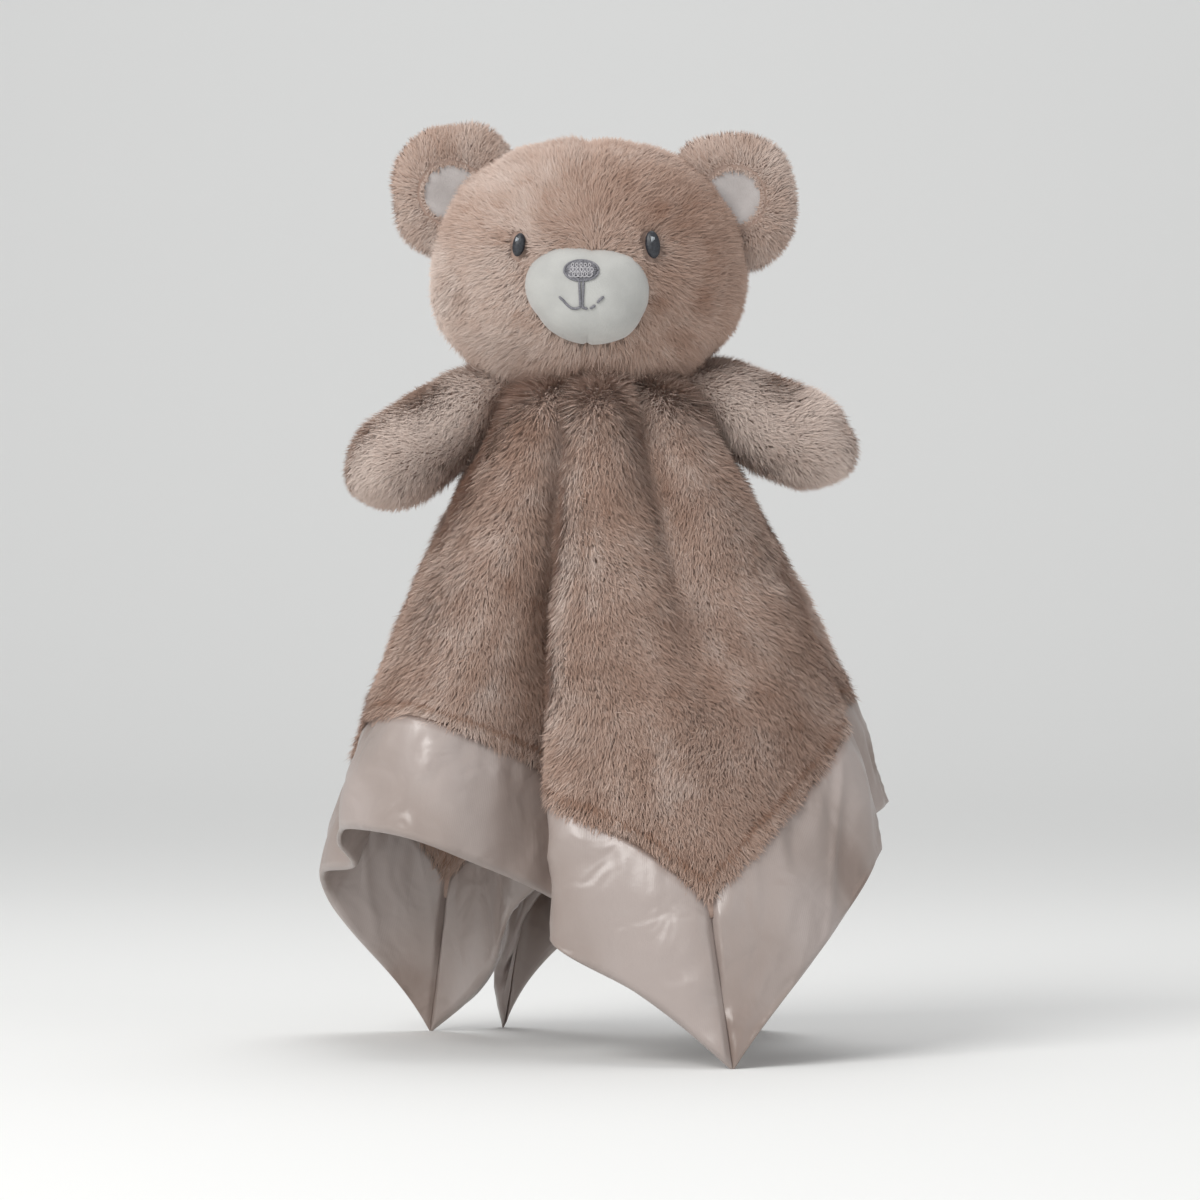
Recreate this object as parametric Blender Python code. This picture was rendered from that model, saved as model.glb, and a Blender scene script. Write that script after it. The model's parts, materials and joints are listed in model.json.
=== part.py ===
# Comfort blanket lovey: a small stuffed bear's head and two stuffed arms sewn to the
# middle of a square plush blanket with a wide mitred satin binding.
# The blanket hangs from the neck in folds and stands on its four corner tips.
# Frame: metres, +Z up, the face looks along -Y, origin on the floor under the middle.

import math

import bmesh
import bpy
from mathutils import Matrix, Vector

mm = 0.001

# Driving dimensions of the blanket
blanket_side = 400 * mm        # the square, flat, with its binding
binding_width = 38 * mm        # the satin that shows on each face
plush_layer = 1.4 * mm         # one plush layer with its pile laid flat
satin_leaf = 0.8 * mm          # one leaf of the folded satin
lip_overlap = 6 * mm           # how far the satin grips the plush
hem_roll = 3 * mm              # the rounded fold along the edge
shoulder_run = 33 * mm         # how far from the middle the cloth turns to hang
soft_run = 110 * mm            # distance over which that rounding fades
standing_share = 0.87328       # neck's height over the floor, as a share of the half diagonal
billow = 14 * mm               # how far the skirt billows out where its folds would lie level
billow_from = 30 * mm          # from this far from the middle of the blanket
billow_to = 250 * mm           # to this far
neck_spread = 30 * mm          # width of the gathers at the neck, as a radius
neck_hole = 5 * mm             # the pinched middle under the head
seam_gap = 0.3 * mm            # clearance between sewn pieces
slot_gap = 0.5 * mm            # clearance of the plush inside the folded satin
slot_depth_gap = 3.2 * mm      # room past the plush's edge inside the fold

# Driving dimensions of the head
head_half_width = 56 * mm
head_half_depth = 44 * mm
head_half_height = 42 * mm
head_centre_x = -3 * mm
head_centre_y = 0 * mm
head_skin = 3 * mm             # plush of the head, pile included
neck_radius = 17 * mm          # the open neck edge of the head panels

# Driving dimensions of the face
muzzle_half_width = 22.5 * mm
muzzle_half_height = 17.5 * mm
muzzle_half_depth = 17 * mm
muzzle_x = -4.5 * mm
muzzle_drop = 13 * mm          # muzzle centre under the head centre
muzzle_sink = 3 * mm           # muzzle centre behind the head's front
muzzle_skin = 1.5 * mm
nose_half_width = 6.6 * mm
nose_half_height = 4.2 * mm
nose_half_depth = 2.2 * mm
nose_rise = 9.5 * mm           # nose over the muzzle centre
nose_shift = -2 * mm
thread_radius = 0.8 * mm
mouth_stem = 10 * mm
smile_half_width = 8 * mm
smile_rise = 3.6 * mm
eye_half_width = 2.8 * mm
eye_half_height = 5 * mm
eye_half_depth = 1.6 * mm
eye_spread = 24 * mm           # from the line between the eyes
eye_line_x = -5 * mm
eye_rise = 6 * mm              # over the head centre

# Driving dimensions of the ears
ear_radius = 21 * mm
ear_half_depth = 7 * mm
ear_skin = 2 * mm
ear_left_x = -54 * mm
ear_left_rise = 24.5 * mm      # ear centre over the head centre
ear_right_x = 50 * mm
ear_right_rise = 22 * mm

# Driving dimensions of the arms
arm_skin = 2 * mm
arm_reach = 60 * mm            # from the shoulder seam to the end of the paw
arm_thickness = 29 * mm        # of the forearm
arm_depth = 29 * mm            # front to back
shoulder_x = 29 * mm           # the seam that the arm hinges on
shoulder_tuck = 1 * mm         # the seam is set down to the cloth this far outside it
shoulder_gap = 0.3 * mm        # room left under the seam for the arm to swing
arm_forward = 12 * mm          # the paw lies this far in front of the shoulder
floor_overrun = 20 * mm        # size of the cut that levels the corner tips

# Fold lines of the blanket. Each line is a turn in degrees round the flat square,
# from the front corner, and where that line ends up sideways and front to back,
# as shares of the half diagonal. Corners are at 0, 90, 180 and 270.
fold_shares = (
    (0, 0.178, -0.340),
    (8, 0.055, -0.310),
    (15, -0.075, -0.255),
    (19, -0.055, -0.180),
    (23, -0.045, -0.110),
    (29, -0.110, -0.140),
    (38, -0.260, -0.240),
    (46, -0.360, -0.220),
    (54, -0.440, -0.120),
    (61, -0.440, -0.010),
    (67, -0.405, 0.085),
    (73, -0.445, 0.190),
    (79, -0.405, 0.275),
    (90, -0.230, 0.291),
    (97, -0.155, 0.205),
    (108, -0.120, 0.010),
    (120, -0.035, -0.085),
    (132, 0.030, -0.010),
    (145, -0.015, 0.150),
    (160, -0.095, 0.262),
    (171, -0.148, 0.306),
    (176, -0.164, 0.334),
    (180, -0.143, 0.350),
    (185, -0.112, 0.345),
    (190, -0.070, 0.312),
    (195, -0.012, 0.242),
    (201, 0.035, 0.150),
    (206, 0.072, 0.125),
    (211, 0.092, 0.180),
    (217, 0.076, 0.365),
    (225, 0.104, 0.476),
    (234, 0.152, 0.395),
    (244, 0.146, 0.155),
    (250, 0.176, 0.110),
    (257, 0.205, 0.185),
    (264, 0.198, 0.260),
    (270, 0.222, 0.306),
    (275, 0.272, 0.272),
    (281, 0.305, 0.190),
    (286, 0.288, 0.080),
    (291, 0.276, 0.000),
    (296, 0.318, -0.008),
    (301, 0.395, 0.045),
    (306, 0.475, 0.090),
    (311, 0.520, 0.080),
    (317, 0.510, 0.020),
    (325, 0.445, -0.050),
    (335, 0.455, -0.145),
    (347, 0.345, -0.260),
)
# Where the same turns start round the neck, as a bearing in degrees.
gather_bearings = (
    (0, -67), (45, -142), (90, -205), (180, -270), (270, -320), (292, -346), (316, -364), (335, -380),
)
soft_turn = 9.0                # degrees over which folds are rounded at the neck
fold_steps = 2                 # stations between two fold lines
row_shares = (0, 0.1, 0.2, 0.5)   # rows of the plush from the middle towards the satin
full_turn = 360.0
probe_turn = 0.4               # degrees to each side when a normal is measured
probe_run = 1 * mm
walk_step = 2 * mm             # step of the walk down a fold line
mitre_turn = 0.0004            # keeps the end of a strip on its own side of the mitre

# Arm outlines: share of the reach, rise under or over the seam, half thickness and
# half depth as shares of the reach, the arm's thickness and its depth.
left_arm_shares = (
    (0.00, 0.000, 0.14, 0.24),
    (0.12, 0.030, 0.23, 0.34),
    (0.28, -0.045, 0.39, 0.45),
    (0.50, -0.215, 0.49, 0.50),
    (0.73, -0.370, 0.49, 0.50),
    (0.89, -0.465, 0.36, 0.40),
    (0.975, -0.505, 0.17, 0.20),
)
right_arm_shares = (
    (0.00, 0.000, 0.14, 0.24),
    (0.12, 0.030, 0.23, 0.34),
    (0.29, -0.010, 0.39, 0.45),
    (0.52, -0.150, 0.50, 0.50),
    (0.77, -0.260, 0.49, 0.50),
    (0.94, -0.300, 0.36, 0.40),
    (1.025, -0.305, 0.17, 0.20),
)
head_fullness = 0.82           # power of the head's outline, below 1 is fuller
cheek_share = 0.07             # how much the cheeks widen below the middle
lining_tilt = 0.62             # where an ear's lining ends, as an angle from its middle
head_columns = 20              # sides of the head, in fours
head_rows = 9
arm_columns = 12               # sides of an arm, in twos
ear_columns = 20               # sides of an ear
ear_front_rings = 3            # rings from the middle to the lining's edge, and on to the rim
ear_back_rings = 5
muzzle_sides = (20, 12)        # sides and rows of each small ball
nose_sides = (14, 8)
eye_sides = (12, 8)
stem_pieces = 3
smile_pieces = 5               # pieces of thread on each side of the smile's middle

# Derived sizes
half_side = blanket_side / 2
half_diagonal = half_side * math.sqrt(2)
neck_height = standing_share * half_diagonal
plush_half = half_side - binding_width
cloth_half = seam_gap / 2 + plush_layer
head_foot = neck_height + cloth_half + seam_gap
head_centre_z = head_foot + head_half_height


def material(name, colour, roughness, sheen=0.0, metallic=0.0):
    made = bpy.data.materials.new(name)
    made.use_nodes = True
    shader = made.node_tree.nodes["Principled BSDF"]
    shader.inputs["Base Color"].default_value = (*colour, 1.0)
    shader.inputs["Roughness"].default_value = roughness
    shader.inputs["Metallic"].default_value = metallic
    shader.inputs["Sheen Weight"].default_value = sheen
    made.diffuse_color = (*colour, 1.0)
    return made


def collection(name):
    made = bpy.data.collections.new(name)
    bpy.context.scene.collection.children.link(made)
    return made


def spline_value(turn, table, column, span=0.0):
    """Smooth closed curve through a table of (turn, value, ...) rows.

    span is what the value gains in one full turn.
    """
    count = len(table)
    turn = turn % full_turn
    start = max(k for k in range(count) if table[k][0] <= turn)
    x, y = [], []
    for k in range(start - 1, start + 3):
        lap = k // count
        x.append(table[k % count][0] + lap * full_turn)
        y.append(table[k % count][column] + lap * span)
    slope = [(y[k + 1] - y[k]) / (x[k + 1] - x[k]) for k in range(3)]
    first = (slope[0] * (x[2] - x[1]) + slope[1] * (x[1] - x[0])) / (x[2] - x[0])
    second = (slope[1] * (x[3] - x[2]) + slope[2] * (x[2] - x[1])) / (x[3] - x[1])
    step = x[2] - x[1]
    t = (turn - x[1]) / step
    return (
        (2 * t**3 - 3 * t**2 + 1) * y[1]
        + (t**3 - 2 * t**2 + t) * step * first
        + (3 * t**2 - 2 * t**3) * y[2]
        + (t**3 - t**2) * step * second
    )


def fold_place(turn, run, column):
    """A fold line's share at a turn, rounded off more the nearer it is to the neck."""
    reach = soft_turn * math.exp(-((run / soft_run) ** 2))
    samples = [spline_value(turn + reach * step, fold_shares, column)
               for step in (-1, -0.5, 0, 0.5, 1)]
    return sum(samples) / len(samples)


def drape_point(turn, run):
    """Point of the hanging blanket at a turn and a distance from its middle.

    The cloth leaves the middle level, turns down, billows out a little and follows
    its fold line.
    """
    bearing = math.radians(spline_value(turn, gather_bearings, 1, -full_turn))
    level = Vector((math.cos(bearing), math.sin(bearing), 0))
    gather = neck_spread / half_diagonal
    side = fold_place(turn, run, 1) - gather * level.x
    back = fold_place(turn, run, 2) - gather * level.y
    hang = Vector((side, back, -math.sqrt(1 - side**2 - back**2)))
    steps = max(1, math.ceil(run / walk_step))
    step = run / steps
    point = Vector((0, 0, neck_height))
    for k in range(steps):
        turned = 1 - math.exp(-(((k + 0.5) * step / shoulder_run) ** 2))
        point += step * (level * (1 - turned) + hang * turned).normalized()
    below = min(1, max(0, (run - billow_from) / (billow_to - billow_from)))
    return point + Vector((side, back, 0)) * billow * (4 * below * (1 - below)) ** 2


def drape_normal(turn, run):
    along = drape_point(turn + probe_turn, run) - drape_point(turn - probe_turn, run)
    down = drape_point(turn, run + probe_run) - drape_point(turn, run - probe_run)
    return along.cross(down).normalized()


def hem_run(turn, half):
    """Distance from the middle to the edge of a square with this half side."""
    quarter = full_turn / 4
    off_middle = turn % quarter - quarter / 2
    return half / math.cos(math.radians(off_middle))


def fold_turns():
    turns = []
    for k, row in enumerate(fold_shares):
        following = fold_shares[k + 1][0] if k + 1 < len(fold_shares) else full_turn
        for step in range(fold_steps):
            turns.append(row[0] + (following - row[0]) * step / fold_steps)
    return turns


def mesh_object(name, points, faces, group, finish, smooth=True):
    mesh = bpy.data.meshes.new(name)
    mesh.from_pydata(points, [], faces)
    mesh.validate()
    if smooth:
        mesh.shade_smooth()
    made = bpy.data.objects.new(name, mesh)
    made.data.materials.append(finish)
    group.objects.link(made)
    return made


def grid_faces(rows, columns, closed):
    """Triangles of a grid, all split along the same diagonal."""
    faces = []
    for row in range(rows - 1):
        for column in range(columns if closed else columns - 1):
            following = (column + 1) % columns
            a = row * columns + column
            b = row * columns + following
            c = (row + 1) * columns + following
            d = (row + 1) * columns + column
            faces.append((a, b, c))
            faces.append((a, c, d))
    return faces


def merge_points(made):
    """Merge the points of a pole and drop the faces that this flattens."""
    shape = bmesh.new()
    shape.from_mesh(made.data)
    bmesh.ops.remove_doubles(shape, verts=shape.verts, dist=seam_gap / 100)
    bmesh.ops.dissolve_degenerate(shape, dist=seam_gap / 100, edges=shape.edges)
    shape.to_mesh(made.data)
    shape.free()


def close_shape(made):
    """Make a closed mesh's faces agree and point out."""
    shape = bmesh.new()
    shape.from_mesh(made.data)
    bmesh.ops.triangulate(shape, faces=[face for face in shape.faces if len(face.verts) > 3])
    bmesh.ops.recalc_face_normals(shape, faces=shape.faces)
    if shape.calc_volume(signed=True) < 0:
        bmesh.ops.reverse_faces(shape, faces=shape.faces)
    shape.to_mesh(made.data)
    shape.free()


def inner_points(shape, depth):
    """Where each corner of a closed mesh lies when the mesh is drawn in evenly."""
    shape.normal_update()
    return {vert: vert.co - vert.normal * depth * vert.calc_shell_factor()
            for vert in shape.verts}


def shrink(made, depth):
    """Draw a closed mesh in by an even depth."""
    shape = bmesh.new()
    shape.from_mesh(made.data)
    for vert, place in inner_points(shape, depth).items():
        vert.co = place
    shape.to_mesh(made.data)
    shape.free()


def wall_part(name, form, depth, keep, shift, group, finish):
    """Part of a closed form's skin: the faces that keep accepts, with an even wall inwards."""
    shape = bmesh.new()
    shape.from_mesh(form.data)
    inner = inner_points(shape, depth)
    chosen = {face for face in shape.faces if keep(face)}
    order, points, faces = {}, [], []
    for vert in shape.verts:
        if chosen.intersection(vert.link_faces):
            order[vert] = len(points)
            points.extend((vert.co + shift, inner[vert] + shift))
    for face in sorted(chosen, key=lambda face: face.index):
        ring = [order[vert] for vert in face.verts]
        faces.append(tuple(ring))
        faces.append(tuple(k + 1 for k in reversed(ring)))
        for loop in face.loops:
            if loop.link_loop_radial_next.face not in chosen:
                first = order[loop.vert]
                following = order[loop.link_loop_next.vert]
                faces.append((following, first, first + 1))
                faces.append((following, first + 1, following + 1))
    shape.free()
    return mesh_object(name, points, faces, group, finish)


def cut(made, cutter, name):
    boolean = made.modifiers.new(name, "BOOLEAN")
    boolean.operation = "DIFFERENCE"
    boolean.object = cutter
    boolean.solver = "EXACT"
    return boolean


def cutter_look(made):
    made.hide_render = True
    made.display_type = "WIRE"


def plush_sheet(name, side, group, finish):
    """One plush layer, from the pinched middle to the satin, laid in the folds."""
    turns = fold_turns()
    points = []
    for depth in (seam_gap / 2, cloth_half):
        for share in row_shares:
            for turn in turns:
                run = neck_hole + (hem_run(turn, plush_half) - neck_hole) * share
                points.append(drape_point(turn, run) + drape_normal(turn, run) * side * depth)
        for half in (plush_half - lip_overlap, plush_half):
            for turn in turns:
                run = hem_run(turn, half)
                points.append(drape_point(turn, run) + drape_normal(turn, run) * side * depth)
    rows = len(row_shares) + 2
    columns = len(turns)
    half = rows * columns
    skin = grid_faces(rows, columns, True)
    faces = [tuple(reversed(face)) for face in skin]
    faces.extend(tuple(k + half for k in face) for face in skin)
    for column in range(columns):
        following = (column + 1) % columns
        for row in (0, rows - 1):
            a = row * columns + column
            b = row * columns + following
            faces.append((a, b, b + half) if row else (a, b + half, b))
            faces.append((a, b + half, a + half) if row else (a, a + half, b + half))
    made = mesh_object(name, points, faces, group, finish)
    close_shape(made)
    return made


def binding_section(turn, trim):
    """Closed outline of the folded satin at one turn, gripping both plush layers.

    trim moves the outline sideways from a mitre.
    """
    slot = cloth_half + slot_gap
    outside = slot + satin_leaf
    lip = hem_run(turn, plush_half - lip_overlap)
    edge = hem_run(turn, plush_half)
    floor = hem_run(turn, plush_half + slot_depth_gap)
    roll = hem_run(turn, half_side - hem_roll)
    hem = hem_run(turn, half_side)
    outline = (
        (lip, outside), (edge, outside), (roll, satin_leaf * 2), (hem, satin_leaf / 2),
        (hem, -satin_leaf / 2), (roll, -satin_leaf * 2), (edge, -outside), (lip, -outside),
        (lip, -slot), (floor, -slot), (floor, slot), (lip, slot),
    )
    points = []
    for run, height in outline:
        at = turn + math.degrees(trim / run)
        points.append(drape_point(at, run) + drape_normal(at, run) * height)
    return points


def binding_strip(name, corner, group, finish, floor):
    """One mitred side of the satin binding, from a corner to the next."""
    quarter = full_turn / 4
    turns = [turn for turn in fold_turns() if corner <= turn < corner + quarter]
    turns.append(corner + quarter)
    points = []
    for turn in turns:
        trim = 0
        if turn == turns[0]:
            trim = seam_gap / 2
        if turn == turns[-1]:
            trim = -seam_gap / 2
        points.extend(binding_section(turn - (turn == turns[-1]) * mitre_turn, trim))
    size = len(points) // len(turns)
    faces = grid_faces(len(turns), size, True)
    faces = [tuple(reversed(face)) for face in faces]
    faces.append(tuple(range(size)))
    faces.append(tuple(reversed(range(len(points) - size, len(points)))))
    made = mesh_object(name, points, faces, group, finish, smooth=False)
    close_shape(made)
    cut(made, floor, "level_tips")
    return made


def head_point(turn, tilt):
    """Point of the head's skin: turn round the vertical from the left cheek,
    tilt up from the middle."""
    flat = math.cos(tilt) ** head_fullness
    rise = math.copysign(abs(math.sin(tilt)) ** head_fullness, tilt)
    cheek = 1 - cheek_share * rise
    return Vector((
        head_centre_x - head_half_width * flat * cheek * math.cos(turn),
        head_centre_y - head_half_depth * flat * cheek * math.sin(turn),
        head_centre_z + head_half_height * rise,
    ))


def head_front_depth(x, z):
    """How far the head's surface lies in front at this place, by halving."""
    rise = (z - head_centre_z) / head_half_height
    tilt = math.asin(abs(rise) ** (1 / head_fullness)) * (1 if rise > 0 else -1)
    flat = math.cos(tilt) ** head_fullness * (1 - cheek_share * rise)
    across = (head_centre_x - x) / (head_half_width * flat)
    return head_centre_y - head_half_depth * flat * math.sqrt(1 - across**2)


def neck_tilt():
    """Tilt at which the head's skin has narrowed to the neck."""
    return -math.acos((neck_radius / head_half_depth) ** (1 / head_fullness))


def head_form(name, group, finish):
    """The whole head as one closed form, flat at the neck."""
    points = []
    for row in range(head_rows):
        tilt = math.pi / 2 + (neck_tilt() - math.pi / 2) * row / (head_rows - 1)
        for column in range(head_columns):
            points.append(head_point(math.tau * column / head_columns, tilt))
    points.extend(Vector((point.x, point.y, head_foot)) for point in points[-head_columns:])
    faces = grid_faces(head_rows + 1, head_columns, True)
    faces.append(tuple(range(head_rows * head_columns, (head_rows + 1) * head_columns)))
    made = mesh_object(name, points, faces, group, finish)
    merge_points(made)
    close_shape(made)
    return made


def head_panel(name, form, side, face, group, finish):
    """A quarter of the head's skin, between the face seam and the side seam."""
    neck = head_point(0, neck_tilt()).z

    def keep(skin):
        centre = skin.calc_center_median()
        across = (centre.x - head_centre_x) * side
        deep = (centre.y - head_centre_y) * face
        return across > 0 and deep > 0 and centre.z > neck

    apart = Vector((side * seam_gap / 2, face * seam_gap / 2, 0))
    return wall_part(name, form, head_skin, keep, apart, group, finish)


def ellipsoid(name, centre, radii, group, finish, sides, facing=None):
    """A ball stretched to three radii, turned so that its depth lies along facing."""
    shape = bmesh.new()
    bmesh.ops.create_uvsphere(shape, u_segments=sides[0], v_segments=sides[1], radius=1)
    turn = Matrix.Identity(4)
    if facing is not None:
        turn = Vector((0, -1, 0)).rotation_difference(facing).to_matrix().to_4x4()
    stretch = Matrix.Diagonal((*radii, 1))
    bmesh.ops.transform(shape, matrix=Matrix.Translation(centre) @ turn @ stretch,
                        verts=shape.verts)
    mesh = bpy.data.meshes.new(name)
    shape.to_mesh(mesh)
    shape.free()
    mesh.shade_smooth()
    made = bpy.data.objects.new(name, mesh)
    made.data.materials.append(finish)
    group.objects.link(made)
    return made


def disc_point(centre, radii, turn, tilt, side):
    """Point of a puffy disc: turn round its rim, tilt from its middle to its rim."""
    return Vector((
        centre.x + radii.x * math.sin(tilt) * math.cos(turn),
        centre.y + side * radii.y * math.cos(tilt),
        centre.z + radii.z * math.sin(tilt) * math.sin(turn),
    ))


def ear_form(name, centre, group, finish):
    """An ear as one closed puffy disc, with a narrow ring where its lining is let in."""
    radii = Vector((ear_radius, ear_half_depth, ear_radius))
    narrow = seam_gap / 2 / (ear_radius * math.cos(lining_tilt))
    share = lining_tilt / ear_front_rings
    front = [share * k for k in range(ear_front_rings)]
    front += [lining_tilt - narrow, lining_tilt + narrow]
    share = (math.pi / 2 - lining_tilt) / ear_front_rings
    front += [lining_tilt + share * (k + 1) for k in range(ear_front_rings)]
    back = [math.pi / 2 * k / ear_back_rings for k in range(ear_back_rings)]
    rings = [(-1, tilt) for tilt in front] + [(1, tilt) for tilt in reversed(back)]
    points = []
    for side, tilt in rings:
        for column in range(ear_columns):
            turn = math.tau * column / ear_columns
            points.append(disc_point(centre, radii, turn, tilt, side))
    made = mesh_object(name, points, grid_faces(len(rings), ear_columns, True), group, finish)
    merge_points(made)
    close_shape(made)
    return made


def build_ear(label, centre, group, cutters, finishes, head):
    form = ear_form(f"ear_{label}_form", centre, cutters, finishes["fill"])
    cutter_look(form)
    chord_share = math.sqrt(5 + 4 * math.cos(math.tau / ear_columns)) / 3
    edge = math.sin(lining_tilt) * ear_radius * chord_share
    margin = seam_gap / 3

    def spread(skin):
        """Distance of a face from the ear's middle, and below zero on its back."""
        place = skin.calc_center_median()
        facing = -1 if place.y > centre.y else 1
        return math.hypot(place.x - centre.x, place.z - centre.z) * facing

    parts = (
        ("front", -1, lambda skin: spread(skin) > edge + margin, finishes["plush"]),
        ("lining", -1, lambda skin: 0 < spread(skin) < edge - margin, finishes["lining"]),
        ("back", 1, lambda skin: spread(skin) < 0, finishes["plush"]),
    )
    made = []
    for name, side, keep, finish in parts:
        shift = Vector((0, side * seam_gap / 2, 0))
        made.append(wall_part(f"ear_{label}_{name}", form, ear_skin, keep, shift, group, finish))
    fill = ear_form(f"ear_{label}_fill", centre, group, finishes["fill"])
    shrink(fill, ear_skin + seam_gap)
    made.append(fill)
    for piece in made:
        cut(piece, head, "seat_on_head")
    return made


def shoulder_seam(side, shares):
    """Where an arm's seam rests: over the cloth straight under it."""
    nearest = None
    for turn in fold_turns():
        run = shoulder_x
        place = drape_point(turn, run)
        while place.x * side < shoulder_x + shoulder_tuck and run < half_side / 2:
            run += probe_run
            place = drape_point(turn, run)
        reached = place.x * side >= shoulder_x + shoulder_tuck
        if reached and (nearest is None or abs(place.y) < abs(nearest.y)):
            nearest = place
    rest = arm_thickness * shares[0][2]
    return Vector((side * shoulder_x, 0, nearest.z + cloth_half + shoulder_gap + rest))


def arm_rings(seam, side, shares):
    """Rings of an arm from the shoulder seam to the paw: centre, across and front."""
    centres = []
    for out, rise, _, _ in shares:
        forward = -arm_forward * out**2
        centres.append(seam + Vector((side * arm_reach * out, forward, arm_reach * rise)))
    rings = []
    for k, row in enumerate(shares):
        before = centres[max(0, k - 1)]
        after = centres[min(len(shares) - 1, k + 1)]
        along = (after - before).normalized()
        front = Vector((0, -1, 0))
        front = (front - along * front.dot(along)).normalized()
        across = along.cross(front)
        rings.append((centres[k], across * arm_thickness * row[2], front * arm_depth * row[3]))
    return rings


def arm_form(name, seam, shares, side, group, finish):
    """An arm as one closed form, from the seam to the paw."""
    points = []
    for centre, across, front in arm_rings(seam, side, shares):
        for column in range(arm_columns):
            angle = math.tau * column / arm_columns
            points.append(centre + across * math.cos(angle) + front * math.sin(angle))
    faces = grid_faces(len(shares), arm_columns, True)
    faces.append(tuple(range(arm_columns)))
    faces.append(tuple(range(len(points) - arm_columns, len(points))))
    made = mesh_object(name, points, faces, group, finish)
    close_shape(made)
    return made


def build_arm(label, seam, side, shares, group, cutters, finishes):
    """Front and back panels, split along the upper and lower seams, and the stuffing."""
    form = arm_form(f"arm_{label}_form", seam, shares, side, cutters, finishes["fill"])
    cutter_look(form)
    skin_faces = 2 * arm_columns * (len(shares) - 1)

    def front_half(skin):
        """The first half of each ring lies in front of the seams."""
        return skin.index // 2 % arm_columns < arm_columns // 2

    parts = (
        ("front", -1, lambda skin: skin.index < skin_faces and front_half(skin)),
        ("back", 1, lambda skin: skin.index < skin_faces and not front_half(skin)),
    )
    made = []
    for name, face, keep in parts:
        shift = Vector((0, face * seam_gap / 2, 0))
        made.append(wall_part(f"arm_{label}_{name}", form, arm_skin, keep, shift, group,
                              finishes["plush"]))
    fill = arm_form(f"arm_{label}_fill", seam, shares, side, group, finishes["fill"])
    shrink(fill, arm_skin + seam_gap)
    made.append(fill)
    return made


def tube(name, route, radius, group, finish):
    """Round thread along a route, as a closed mesh."""
    curve = bpy.data.curves.new(name, "CURVE")
    curve.dimensions = "3D"
    curve.bevel_depth = radius
    curve.bevel_resolution = 1
    curve.use_fill_caps = True
    spline = curve.splines.new("POLY")
    spline.points.add(len(route) - 1)
    for point, place in zip(spline.points, route):
        point.co = (*place, 1)
    drawn = bpy.data.objects.new(name + "_curve", curve)
    group.objects.link(drawn)
    bpy.context.view_layer.update()
    evaluated = drawn.evaluated_get(bpy.context.evaluated_depsgraph_get())
    mesh = bpy.data.meshes.new_from_object(evaluated)
    mesh.name = name
    bpy.data.objects.remove(drawn)
    shape = bmesh.new()
    shape.from_mesh(mesh)
    bmesh.ops.remove_doubles(shape, verts=shape.verts, dist=seam_gap / 100)
    bmesh.ops.recalc_face_normals(shape, faces=shape.faces)
    shape.to_mesh(mesh)
    shape.free()
    mesh.shade_smooth()
    made = bpy.data.objects.new(name, mesh)
    made.data.materials.append(finish)
    group.objects.link(made)
    return made


def muzzle_front(x, z, centre, grow):
    """Depth of the muzzle's front at this place."""
    across = (x - centre.x) / (muzzle_half_width + grow)
    up = (z - centre.z) / (muzzle_half_height + grow)
    return centre.y - (muzzle_half_depth + grow) * math.sqrt(1 - across**2 - up**2)


def build_blanket(group, cutters, finishes):
    shape = bmesh.new()
    bmesh.ops.create_cube(shape, size=1)
    size = Matrix.Diagonal((blanket_side * 2, blanket_side * 2, floor_overrun, 1))
    place = Matrix.Translation(Vector((0, 0, -floor_overrun / 2)))
    bmesh.ops.transform(shape, matrix=place @ size, verts=shape.verts)
    mesh = bpy.data.meshes.new("floor_cut")
    shape.to_mesh(mesh)
    shape.free()
    floor = bpy.data.objects.new("floor_cut", mesh)
    cutters.objects.link(floor)
    cutter_look(floor)
    plush_sheet("blanket_outer_plush", 1, group, finishes["plush"])
    plush_sheet("blanket_inner_plush", -1, group, finishes["plush"])
    names = ("front_left", "back_left", "back_right", "front_right")
    for k, name in enumerate(names):
        binding_strip(f"satin_binding_{name}", k * full_turn / 4, group, finishes["satin"], floor)


def build_head(group, cutters, finishes):
    made = []
    form = head_form("head_form", cutters, finishes["fill"])
    cutter_look(form)
    for name, side, face in (("front_left", -1, -1), ("front_right", 1, -1),
                             ("back_left", -1, 1), ("back_right", 1, 1)):
        made.append(head_panel(f"head_{name}", form, side, face, group, finishes["plush"]))
    fill = head_form("head_fill", group, finishes["fill"])
    shrink(fill, head_skin + seam_gap)
    for vert in fill.data.vertices[-head_columns:]:
        vert.co.z = head_foot
    made.append(fill)
    envelope = head_form("head_envelope", cutters, finishes["fill"])
    shrink(envelope, -seam_gap)
    cutter_look(envelope)
    return made, envelope


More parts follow.
